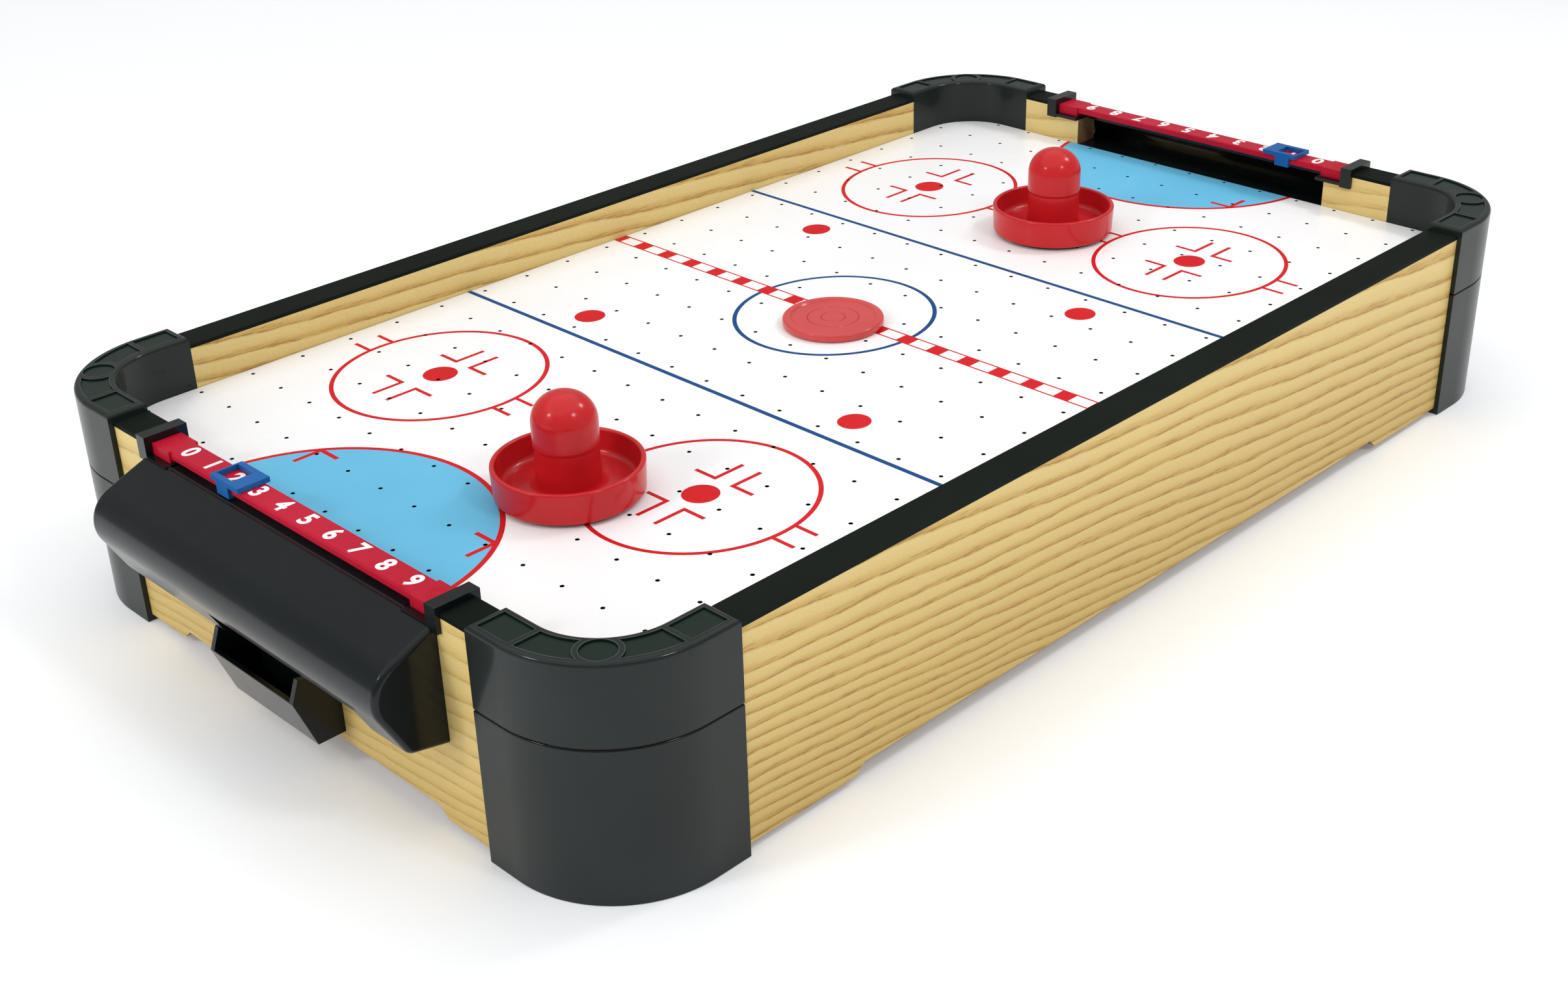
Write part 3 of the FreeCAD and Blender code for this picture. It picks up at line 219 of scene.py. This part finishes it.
def grain_phase(shader, length, up, stretch, streak_stretch):
    """Where a point lies between one grain line, at 0, and the next, at 1."""
    sway = shader.noise(SWAY_SCALE, stretch, detail=1)
    wander = shader.noise(WANDER_SCALE, stretch, detail=2)
    level = shader.math("MULTIPLY_ADD", length, LINE_SLOPE, up)
    level = shader.math("MULTIPLY_ADD", sway, SWAY_DEPTH, level)
    level = shader.math("MULTIPLY_ADD", wander, WANDER_DEPTH, level)
    squared = shader.math("MULTIPLY", level, level)
    lines = shader.math("MULTIPLY_ADD", squared, LINE_SPREAD,
                        shader.math("MULTIPLY", level, LINES_PER_METRE))
    streak = shader.noise(STREAK_SCALE, streak_stretch, detail=3, roughness=0.7)
    return shader.math("FRACT", shader.math("MULTIPLY_ADD", streak, STREAK_DEPTH, lines))


def grain_marks(shader, phase, streak_stretch):
    """How dark the pores are at a point, from 0 to 1."""
    dash = shader.noise(DASH_SCALE, streak_stretch, detail=2, roughness=0.6)
    pores = shader.math("MULTIPLY", shader.math("LESS_THAN", phase, PORE_ZONE),
                        shader.math("GREATER_THAN", dash, PORE_LIMIT))
    edge = shader.math("MULTIPLY", shader.math("LESS_THAN", phase, EDGE_ZONE),
                       shader.math("GREATER_THAN", dash, EDGE_LIMIT))
    return shader.math("MAXIMUM", shader.math("MULTIPLY", pores, PORE_DARKNESS),
                       shader.math("MULTIPLY", edge, EDGE_DARKNESS))


def wood_material(name, along, contrast):
    """Ash-grain laminate on a wall that runs along X or Y; cut edges show bare fibreboard."""
    shader = Shader(name, 0.45, Specular_IOR_Level=0.3)
    point = shader.place()
    length, up = point["XY".index(along)], point[2]
    stretch = (1, 4, 4) if along == "X" else (4, 1, 4)
    streak_stretch = (0.05, 1, 1) if along == "X" else (1, 0.05, 1)
    phase = grain_phase(shader, length, up, stretch, streak_stretch)
    lined = shader.ramp(phase, [(0.0, (198, 160, 85)), (0.14, (205, 169, 94)),
                                (0.45, (223, 195, 126)), (0.9, (228, 203, 138)),
                                (1.0, (212, 181, 106))])
    plain = shader.ramp(shader.noise(5, stretch, detail=2),
                        [(0.3, (221, 194, 124)), (0.7, (230, 206, 141))])
    marks = shader.math("MULTIPLY", grain_marks(shader, phase, streak_stretch), contrast)
    face = shader.mix(marks, shader.mix(contrast, plain, lined), (*linear((172, 126, 66)), 1))
    # Painted shade: the wall is multiplied darker and warmer towards the floor.
    shade = shader.ramp(shader.math("DIVIDE", up, SHADE_HEIGHT * MM),
                        [(0.0, (232, 226, 210)), (0.9, (255, 255, 255))])
    speckle = shader.ramp(shader.noise(2600, (0.6, 0.6, 1), detail=2),
                          [(0.35, (246, 244, 238)), (0.65, (255, 255, 255))])
    toned = shader.mix(1.0, shader.mix(1.0, face, shade, "MULTIPLY"), speckle, "MULTIPLY")
    across = shader.facing()["YX".index(along)]
    broad = shader.math("GREATER_THAN", shader.math("ABSOLUTE", across), 0.5)
    fibre = shader.ramp(shader.noise(900, detail=4), [(0.3, (118, 86, 54)), (0.7, (160, 124, 84))])
    shader.set("Base Color", shader.mix(broad, fibre, toned))
    shader.bump(shader.math("MULTIPLY", marks, -1.0), 0.06)
    return shader


def board_material():
    """White laminate; its upright faces, the walls of the air holes and the edges, are painted
    near-black as shade.
    """
    lowest, spread = 0.22, 0.1
    shader = Shader("white_board", lowest, Specular_IOR_Level=0.3)
    up = shader.math("ABSOLUTE", shader.facing()[2])
    level = shader.math("GREATER_THAN", up, 0.5)
    tone = shader.ramp(shader.noise(9, detail=2), [(0.3, (246, 246, 247)), (0.7, (252, 252, 252))])
    # Painted shade: every upright face, hole walls and edges alike, is near-black.
    shader.set("Base Color", shader.mix(level, (*linear((10, 10, 11)), 1), tone))
    shader.uneven_gloss(shader.noise(45, detail=3), spread, lowest)
    return shader


# A level face is a cell's floor if it lies this far above the seam and this far below the top.
CELL_ABOVE_SEAM, CELL_SUNK, SEAM_HALF = 5, 0.25, 0.62


def corner_material():
    """Satin black corner posts, greener in their sunk cells and black in their seam."""
    low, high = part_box("corner_upper_near_right")
    shader = moulded("corner_plastic", (28, 34, 33), 0.38, grain=0.03, variety=3,
                     Specular_IOR_Level=0.1, Coat_Weight=0.36, Coat_Roughness=0.09)
    rest = shader.surface.inputs["Base Color"].links[0].from_socket
    up = shader.place()[2]
    above = shader.math("GREATER_THAN", up, low.z + CELL_ABOVE_SEAM * MM)
    below = shader.math("LESS_THAN", up, high.z - CELL_SUNK * MM)
    level = shader.math("GREATER_THAN", shader.facing()[2], 0.9)
    cell = shader.math("MULTIPLY", shader.math("MULTIPLY", above, below), level)
    tinted = shader.mix(cell, rest, (*linear((6, 29, 19)), 1))
    seam = shader.math("COMPARE", up, low.z, SEAM_HALF * MM)
    shader.set("Base Color", shader.mix(seam, tinted, (*linear((4, 5, 6)), 1)))
    return shader


def metal(name, colour, roughness):
    shader = Shader(name, roughness, Metallic=1.0)
    brushed = shader.noise(400, (0.1, 1, 1), detail=4)
    light = tuple(min(channel + 18, 255) for channel in colour)
    shader.set("Base Color", shader.ramp(brushed, [(0.3, colour), (0.7, light)]))
    shader.uneven_gloss(brushed, 0.2, roughness)
    return shader


def felt_material():
    shader = Shader("felt", 0.95)
    fibre = shader.noise(2600, detail=4, roughness=0.7)
    shader.set("Base Color", shader.ramp(fibre, [(0.3, (24, 24, 25)), (0.7, (52, 52, 54))]))
    shader.bump(fibre, 0.3)
    return shader


def fibre_material():
    shader = Shader("fibreboard", 0.85)
    grain = shader.noise(1100, detail=5, roughness=0.65)
    shader.set("Base Color", shader.ramp(grain, [(0.3, (118, 88, 58)), (0.7, (158, 124, 86))]))
    shader.bump(grain, 0.2)
    return shader


INKS = {"red": (208, 30, 36), "blue": (24, 74, 132), "sky": (106, 188, 224)}


def make_finishes():
    """Materials for the record's material slots, the inks, the digits and the raised lines."""
    glossy = {"Specular_IOR_Level": 0.1, "Coat_Weight": 0.45, "Coat_Roughness": 0.16}
    finishes = {
        "wood_panel": wood_material("wood_along_x", "X", 0.9),
        "wood_across": wood_material("wood_along_y", "Y", 0.45),
        "black_strip": moulded("black_strip", (22, 27, 23), 0.5, grain=0.04, variety=3,
                               Specular_IOR_Level=0.03),
        "fibreboard": fibre_material(),
        "white_board": board_material(),
        "corner_plastic": corner_material(),
        "hood_plastic": moulded("hood_plastic", (16, 21, 22), 0.26, grain=0.01, variety=2,
                                Specular_IOR_Level=0.15, Coat_Weight=0.3,
                                Coat_Roughness=0.1),
        "bar_red": moulded("bar_red", (184, 20, 48), 0.34, Specular_IOR_Level=0.12),
        "slider_blue": moulded("slider_blue", (24, 92, 160), 0.32, Specular_IOR_Level=0.15),
        "striker_red": moulded("striker_red", (198, 30, 36), 0.34, grain=0.006, **glossy),
        "felt": felt_material(),
        "puck_red": moulded("puck_red", (208, 74, 74), 0.34, grain=0.01, **glossy),
        "fan_grey": moulded("fan_grey", (104, 110, 114), 0.5),
        "steel": metal("steel", (178, 180, 182), 0.28),
        "cell_wrap": moulded("cell_wrap", (44, 74, 60), 0.3),
        "rocker_red": moulded("rocker_red", (176, 28, 32), 0.35),
        "wire_skin": moulded("wire_skin", (160, 28, 28), 0.5),
        "digit_white": moulded("digit_white", (248, 244, 244), 0.35),
        # Painted highlight: the cell rims are the posts' black plastic, coloured a lighter grey.
        "rim_painted_highlight": moulded("rim_painted_highlight", (62, 72, 68), 0.35, Specular_IOR_Level=0.3),
    }
    for ink, colour in INKS.items():
        finishes[f"print_{ink}"] = moulded(f"print_{ink}", colour, 0.4, grain=0.004,
                                           variety=3, Specular_IOR_Level=0.06)
    return {name: shader.material for name, shader in finishes.items()}


def dress_cad(finishes):
    """The finish of its material slot on each CAD piece; the end walls' grain runs across."""
    for part in frame["record"]["subparts"]:
        finish = finishes[part["material_slot"]]
        if part["node"].startswith("end_wall"):
            finish = finishes["wood_across"]
        slots = frame["nodes"][part["node"]].data.materials
        slots.clear()
        slots.append(finish)


# ---------------------------------------------------------------- mesh helpers
def add_mesh(name, mesh, finish, body=ROOT):
    """A new piece that moves with a body."""
    piece = bpy.data.objects.new(name, mesh)
    mesh.materials.append(finish)
    bpy.context.scene.collection.objects.link(piece)
    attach(piece, body)


def thin_layer(name, corners, faces, top, thickness):
    """A closed flat solid from triangles in the plane, in millimetres."""
    work = bmesh.new()
    points = {}
    for face in faces:
        for index in face:
            if index not in points:
                x, y = corners[index]
                points[index] = work.verts.new((x * MM, y * MM, top))
    for face in faces:
        work.faces.new([points[index] for index in face])
    bmesh.ops.recalc_face_normals(work, faces=work.faces)
    if sum(face.normal.z for face in work.faces) < 0:
        bmesh.ops.reverse_faces(work, faces=work.faces)
    grown = bmesh.ops.extrude_face_region(work, geom=work.faces[:], use_keep_orig=True)
    lower = [item for item in grown["geom"] if isinstance(item, bmesh.types.BMVert)]
    bmesh.ops.translate(work, verts=lower, vec=(0, 0, -thickness))
    bmesh.ops.recalc_face_normals(work, faces=work.faces)
    mesh = bpy.data.meshes.new(name)
    work.to_mesh(mesh)
    work.free()
    return mesh


def curve_mesh(name, curve):
    """The mesh of a text or a bevelled curve, without its curve."""
    holder = bpy.data.objects.new(name + "_curve", curve)
    bpy.context.scene.collection.objects.link(holder)
    bpy.context.view_layer.update()
    mesh = bpy.data.meshes.new_from_object(holder)
    bpy.data.objects.remove(holder)
    mesh.materials.clear()
    return mesh


# ---------------------------------------------------------------- printed rink
HOLE_PITCH, HOLE_COUNT, HOLE_SHIFT, HOLE_RADIUS = (22.08, 19.13), (22, 15), (7.3, 1.1), 0.8
BOARD_ROUND, BOARD_EDGE = 24.8, 0.05
INK_TOP, INK_THICKNESS = 0.05, 0.07

RINK_MIDDLE = (7.0, 9.1)
RING_LINE = 1.7
CENTRE_X, CENTRE_RING_Y, CENTRE_RING = RINK_MIDDLE[0] + 0.7, 9.4, (42.0, 39.4)
BAND_HALF, BAND_LINE, BLOCK_PITCH, BLOCK_LENGTH = 3.6, 0.75, 15.3, 6.6
BLUE_LINE_AWAY, BLUE_LINE_HALF = 81.95, 1
OUTER_MIDDLE_X = 6.6
SPOT_AWAY, SPOT = (65.2, 72.4), (6.3, 6.0)
FACE_OFF_AWAY, FACE_OFF_RING, FACE_OFF_DOT = (139.7, 72), (42.1, 39.6), (6.7, 6.4)
# The L marks: line, distance from the dot (one is further off), gap, height and length.
MARK_LINE, MARK_NEAR, MARK_FURTHER, MARK_SHIFT_Y = 1.6, 10.2, 13.4, 0.4
MARK_GAP, MARK_HEIGHT, MARK_LENGTH = 4.3, 9.6, 14
TICK_SHIFT_X, TICK_APART, TICK_START, TICK_END = 0.3, 5.3, 38.8, 48.4
CREASE_AWAY, CREASE_Y, CREASE_RADIUS, CREASE_LINE = 244.3, 10.6, 63.7, 1.9
CREASE_MARK, CREASE_MARK_LENGTH, CREASE_MARK_HEIGHT = (38, 49.2), 11.5, 10


def oval(middle, radii, sides=96):
    return [(middle[0] + radii[0] * math.cos(2 * math.pi * step / sides),
             middle[1] + radii[1] * math.sin(2 * math.pi * step / sides))
            for step in range(sides)]


def circle(middle, radius, sides=96):
    return oval(middle, (radius, radius), sides)


def bar(x0, x1, y0, y1):
    """A rectangle between two values of x and two of y, in either order."""
    x0, x1 = sorted((x0, x1))
    y0, y1 = sorted((y0, y1))
    return [(x0, y0), (x1, y0), (x1, y1), (x0, y1)]


class Print:
    """Ink shapes in the plane, the upper ones first; the ink "bare" keeps the board white."""

    def __init__(self):
        self.shapes = []

    def add(self, ink, outside, *inside):
        self.shapes.append((ink, outside, inside))

    def ring(self, ink, middle, radii, width):
        inner = (radii[0] - width, radii[1] - width)
        self.add(ink, oval(middle, radii), oval(middle, inner))


def centre_band(sheet, half_board):
    """The double red line across the middle, with red blocks between its lines."""
    inner_half = BAND_HALF - BAND_LINE
    for side in (-1, 1):
        sheet.add("red", bar(CENTRE_X + side * BAND_HALF, CENTRE_X + side * inner_half,
                             -half_board, half_board))
    count = int(half_board / BLOCK_PITCH) + 2
    for step in range(-count, count):
        y = RINK_MIDDLE[1] + (step + 0.5) * BLOCK_PITCH
        sheet.add("red", bar(CENTRE_X - inner_half, CENTRE_X + inner_half,
                             y - BLOCK_LENGTH / 2, y + BLOCK_LENGTH / 2))
    sheet.add("bare", bar(CENTRE_X - BAND_HALF, CENTRE_X + BAND_HALF, -half_board, half_board))


def face_off(sheet, side_x, side_y):
    """A face-off ring with its dot, four L marks and the paired ticks outside the ring."""
    middle = (RINK_MIDDLE[0] + side_x * FACE_OFF_AWAY[0],
              RINK_MIDDLE[1] + side_y * FACE_OFF_AWAY[1])
    sheet.add("red", oval(middle, FACE_OFF_DOT, 48))
    for way in (-1, 1):
        near = MARK_FURTHER if side_y > 0 and way == side_x else MARK_NEAR
        start = middle[0] + way * near
        for up in (-1, 1):
            low = middle[1] + MARK_SHIFT_Y + up * MARK_GAP
            sheet.add("red", bar(start, middle[0] + way * (near + MARK_LINE),
                                 low - up * MARK_LINE / 2, low + up * MARK_HEIGHT))
            sheet.add("red", bar(start, middle[0] + way * (near + MARK_LENGTH),
                                 low - MARK_LINE / 2, low + MARK_LINE / 2))
    for way in (-1, 1):
        for up in (-1, 1):
            x = middle[0] + TICK_SHIFT_X + way * TICK_APART
            sheet.add("red", bar(x - MARK_LINE / 2, x + MARK_LINE / 2,
                                 middle[1] + up * TICK_START, middle[1] + up * TICK_END))
    sheet.ring("red", middle, FACE_OFF_RING, RING_LINE)


def crease(sheet, side):
    """The sky-blue half disc in front of a goal, with its red edge and two L marks."""
    middle = (OUTER_MIDDLE_X + side * CREASE_AWAY, CREASE_Y)
    half_line = CREASE_LINE / 2
    for up in (-1, 1):
        x, y = middle[0] - side * CREASE_MARK[0], middle[1] + up * CREASE_MARK[1]
        sheet.add("red", bar(x, x + side * CREASE_MARK_LENGTH, y - half_line, y + half_line))
        sheet.add("red", bar(x - half_line, x + half_line,
                             y + up * half_line, y - up * CREASE_MARK_HEIGHT))
    sheet.ring("red", middle, (CREASE_RADIUS, CREASE_RADIUS), CREASE_LINE)
    sheet.add("sky", circle(middle, CREASE_RADIUS - half_line))


def lay_out_print(half_y):
    """Every printed mark, from the ones on top to the ones below."""
    sheet = Print()
    centre_band(sheet, half_y)
    for side_x in (-1, 1):
        for side_y in (-1, 1):
            face_off(sheet, side_x, side_y)
            spot = (OUTER_MIDDLE_X + side_x * SPOT_AWAY[0],
                    RINK_MIDDLE[1] + side_y * SPOT_AWAY[1])
            sheet.add("red", oval(spot, SPOT, 48))
        crease(sheet, side_x)
        x = RINK_MIDDLE[0] + side_x * BLUE_LINE_AWAY
        sheet.add("blue", bar(x - BLUE_LINE_HALF, x + BLUE_LINE_HALF, -half_y, half_y))
    sheet.ring("blue", (CENTRE_X, CENTRE_RING_Y), CENTRE_RING, RING_LINE)
    return sheet


def board_outline(half_x, half_y):
    """The board's own outline, a little inside its edge."""
    corners = []
    for turn, (sx, sy) in enumerate(((1, 1), (-1, 1), (-1, -1), (1, -1))):
        for step in range(9):
            angle = math.pi / 2 * (turn + step / 8)
            corners.append((sx * (half_x - BOARD_ROUND) + BOARD_ROUND * math.cos(angle),
                            sy * (half_y - BOARD_ROUND) + BOARD_ROUND * math.sin(angle)))
    return corners


def air_holes():
    """The outlines of the air holes, column by column."""
    for column in range(HOLE_COUNT[0]):
        for row in range(HOLE_COUNT[1]):
            middle = ((column - (HOLE_COUNT[0] - 1) / 2) * HOLE_PITCH[0] + HOLE_SHIFT[0],
                      (row - (HOLE_COUNT[1] - 1) / 2) * HOLE_PITCH[1] + HOLE_SHIFT[1])
            yield circle(middle, HOLE_RADIUS, 16)


def printed_rink(finishes):
    """Thin layers of ink on the board, split where they cross and open at the air holes."""
    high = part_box("playfield_board")[1]
    half_x, half_y = high.x / MM - BOARD_EDGE, high.y / MM - BOARD_EDGE
    sheet = lay_out_print(half_y)
    points, loops = [], []

    def add_loop(corners):
        start = len(points)
        points.extend(Vector(corner) for corner in corners)
        loops.append(list(range(start, len(points))))
        return len(loops) - 1

    board = add_loop(board_outline(half_x, half_y))
    holes = {add_loop(outline) for outline in air_holes()}
    inks = [(ink, add_loop(outside), {add_loop(hole) for hole in inside})
            for ink, outside, inside in sheet.shapes]
    found = geometry.delaunay_2d_cdt(points, [], loops, 1, 1e-6, True)
    corners, faces, sources = found[0], found[2], found[5]
    layers = {ink: [] for ink in INKS}
    for face, source in zip(faces, sources):
        inside_of = set(source)
        if board not in inside_of or inside_of & holes:
            continue
        for ink, outside, cut_away in inks:
            if outside in inside_of and not inside_of & cut_away:
                if ink in layers:
                    layers[ink].append(face)
                break
    for ink, covered in layers.items():
        name = f"rink_print_{ink}"
        mesh = thin_layer(name, corners, covered, high.z + INK_TOP * MM, INK_THICKNESS * MM)
        add_mesh(name, mesh, finishes[f"print_{ink}"])


# ---------------------------------------------------------------- digits on the score bars
DIGIT_PITCH, DIGIT_HEIGHT, DIGIT_BOLDNESS = 13.85, 6.6, 0.28
DIGIT_TOP, DIGIT_THICKNESS = 0.07, 0.08
FONT_SIZE_PER_HEIGHT = 1.38


def digit_mesh(name, digit):
    """A bold digit as a flat solid, its middle at the origin and its top towards +Y."""
    curve = bpy.data.curves.new(name, "FONT")
    curve.body = str(digit)
    curve.align_x, curve.align_y = "CENTER", "CENTER"
    curve.size = DIGIT_HEIGHT * MM * FONT_SIZE_PER_HEIGHT
    curve.offset = DIGIT_BOLDNESS * MM
    curve.extrude = DIGIT_THICKNESS * MM / 2
    curve.resolution_u = 6
    mesh = curve_mesh(name, curve)
    xs = [vertex.co.x for vertex in mesh.vertices]
    ys = [vertex.co.y for vertex in mesh.vertices]
    middle = Vector(((min(xs) + max(xs)) / 2, (min(ys) + max(ys)) / 2, 0))
    mesh.transform(Matrix.Translation(-middle))
    return mesh


def score_digits(finishes):
    """The digits 0 to 9 on both bars; the far bar is the near one turned half round."""
    low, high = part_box("score_bar_near")
    middle = (low + high) / 2
    level = high.z + (DIGIT_TOP - DIGIT_THICKNESS / 2) * MM
    upright = Matrix.Rotation(math.radians(-90), 4, "Z")
    for end, turn in (("near", 0), ("far", 180)):
        for digit in range(10):
            name = f"digit_{end}_{digit}"
            mesh = digit_mesh(name, digit)
            y = middle.y + (4.5 - digit) * DIGIT_PITCH * MM
            there = Matrix.Translation((middle.x, y, level))
            mesh.transform(Matrix.Rotation(math.radians(turn), 4, "Z") @ there @ upright)
            add_mesh(name, mesh, finishes["digit_white"])


# ---------------------------------------------------------------- fine raised lines
FRAME_HALF, WALL, POST_PROUD, CORNER_LEG = (254, 152.5), 13, 2, 52.5
OUTER_ROUND, INNER_ROUND = 41, 25
CELL_MARGIN, CELL_LENGTH, CELL_GAP = 2.4, 14, 1.6
ROUND_CELL_PLACE, ROUND_CELL_RADIUS = 15.2, 5.7
CELL_BEAD = 0.17
BAR_RINGS, BAR_RING_INSET, BAR_BEAD, BAR_BEAD_SUNK = (2.9, 1.7), 5.3, 0.16, 0.06


def arc(middle, radius, start, end, steps=14):
    return [(middle[0] + radius * math.cos(start + (end - start) * step / steps),
             middle[1] + radius * math.sin(start + (end - start) * step / steps))
            for step in range(steps + 1)]


def bearing(middle, point):
    """The angle of a point seen from a middle, from 0 to a full turn."""
    return math.atan2(point[1] - middle[1], point[0] - middle[0]) % (2 * math.pi)


def signed(angle):
    """The same angle, from minus half a turn to half a turn."""
    return angle - 2 * math.pi if angle > math.pi else angle


def meeting(middle, radius, hug):
    """Where an arc centred on the diagonal meets the circle round the round cell."""
    apart = (middle - ROUND_CELL_PLACE) * math.sqrt(2)
    along = (radius ** 2 - hug ** 2 + apart ** 2) / (2 * apart)
    across = math.sqrt(radius ** 2 - along ** 2)
    return middle - (along - across) / math.sqrt(2), middle - (along + across) / math.sqrt(2)


def corner_cells():
    """The outlines of the five sunk cells, in the corner's own frame."""
    near, far = CELL_MARGIN - POST_PROUD, WALL - CELL_MARGIN
    start = CORNER_LEG - CELL_MARGIN - CELL_LENGTH
    straight = bar(start, start + CELL_LENGTH, near, far)
    edge = start - CELL_GAP
    outer, outer_radius = OUTER_ROUND - POST_PROUD, OUTER_ROUND - CELL_MARGIN
    inner, inner_radius = WALL + INNER_ROUND, INNER_ROUND + CELL_MARGIN
    hug = ROUND_CELL_RADIUS + CELL_GAP
    outer_end, inner_end = meeting(outer, outer_radius, hug), meeting(inner, inner_radius, hug)
    outer_start = (edge, outer - math.sqrt(outer_radius ** 2 - (outer - edge) ** 2))
    inner_start = (edge, inner - math.sqrt(inner_radius ** 2 - (inner - edge) ** 2))
    heart = (ROUND_CELL_PLACE, ROUND_CELL_PLACE)
    bent = (arc((outer, outer), outer_radius, bearing((outer, outer), outer_start),
                bearing((outer, outer), outer_end))
            + arc(heart, hug, signed(bearing(heart, outer_end)),
                  signed(bearing(heart, inner_end)), 8)[1:-1]
            + arc((inner, inner), inner_radius, bearing((inner, inner), inner_end),
                  bearing((inner, inner), inner_start)))
    mirrored = [[(y, x) for x, y in cell] for cell in (straight, bent)]
    return [straight, bent, *mirrored, circle(heart, ROUND_CELL_RADIUS, 40)]


def raised_lines(name, loops, height, radius, finish):
    """Closed round beads along outlines given in millimetres, centred at a height."""
    curve = bpy.data.curves.new(name, "CURVE")
    curve.dimensions = "3D"
    curve.bevel_depth = radius
    curve.bevel_resolution = 2
    for loop in loops:
        spline = curve.splines.new("POLY")
        spline.points.add(len(loop) - 1)
        for point, (x, y) in zip(spline.points, loop):
            point.co = (x * MM, y * MM, height, 1)
        spline.use_cyclic_u = True
    add_mesh(name, curve_mesh(name, curve), finish)


def cell_rims(finishes):
    """A fine raised line round every sunk cell on the corner posts, in a lighter grey that is
    painted highlight.
    """
    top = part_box("corner_upper_near_right")[1].z
    for label, turn, sx, sy in (("near_right", 0, -1, -1), ("far_right", 90, 1, -1),
                                ("far_left", 180, 1, 1), ("near_left", 270, -1, 1)):
        spin = Matrix.Rotation(math.radians(turn), 2)
        corner = Vector((sx * FRAME_HALF[0], sy * FRAME_HALF[1]))
        loops = [[tuple(spin @ Vector(point) + corner) for point in cell]
                 for cell in corner_cells()]
        raised_lines(f"cell_rims_{label}", loops, top, CELL_BEAD * MM, finishes["rim_painted_highlight"])


def bar_rings(finishes):
    """Plain raised rings on the score bars' end blocks, low enough for the slider to clear."""
    for end in ("near", "far"):
        low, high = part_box(f"score_bar_{end}")
        middle = (low + high) / 2 / MM
        reach = (high.y - low.y) / 2 / MM - BAR_RING_INSET
        loops = [circle((middle.x, middle.y + side * reach), size, 32)
                 for side in (-1, 1) for size in BAR_RINGS]
        raised_lines(f"bar_rings_{end}", loops, high.z - BAR_BEAD_SUNK * MM, BAR_BEAD * MM,
                     finishes["bar_red"])


# ---------------------------------------------------------------- floor
FLOOR_SIZE, FLOOR_DROP, FLOOR_GLOW = 12, 0.0002, 0.09


def make_floor():
    bpy.ops.mesh.primitive_plane_add(size=FLOOR_SIZE, location=(0, 0, -FLOOR_DROP))
    floor = bpy.context.object
    floor.name = "floor"
    shader = Shader("floor", 0.6)
    shader.surface.inputs["Base Color"].default_value = (0.97, 0.985, 1.0, 1)
    shader.surface.inputs["Emission Color"].default_value = (1, 1, 1, 1)
    shader.surface.inputs["Emission Strength"].default_value = FLOOR_GLOW
    floor.data.materials.append(shader.material)


make_camera()
make_lights()
finishes = make_finishes()
dress_cad(finishes)
printed_rink(finishes)
score_digits(finishes)
cell_rims(finishes)
bar_rings(finishes)
make_floor()
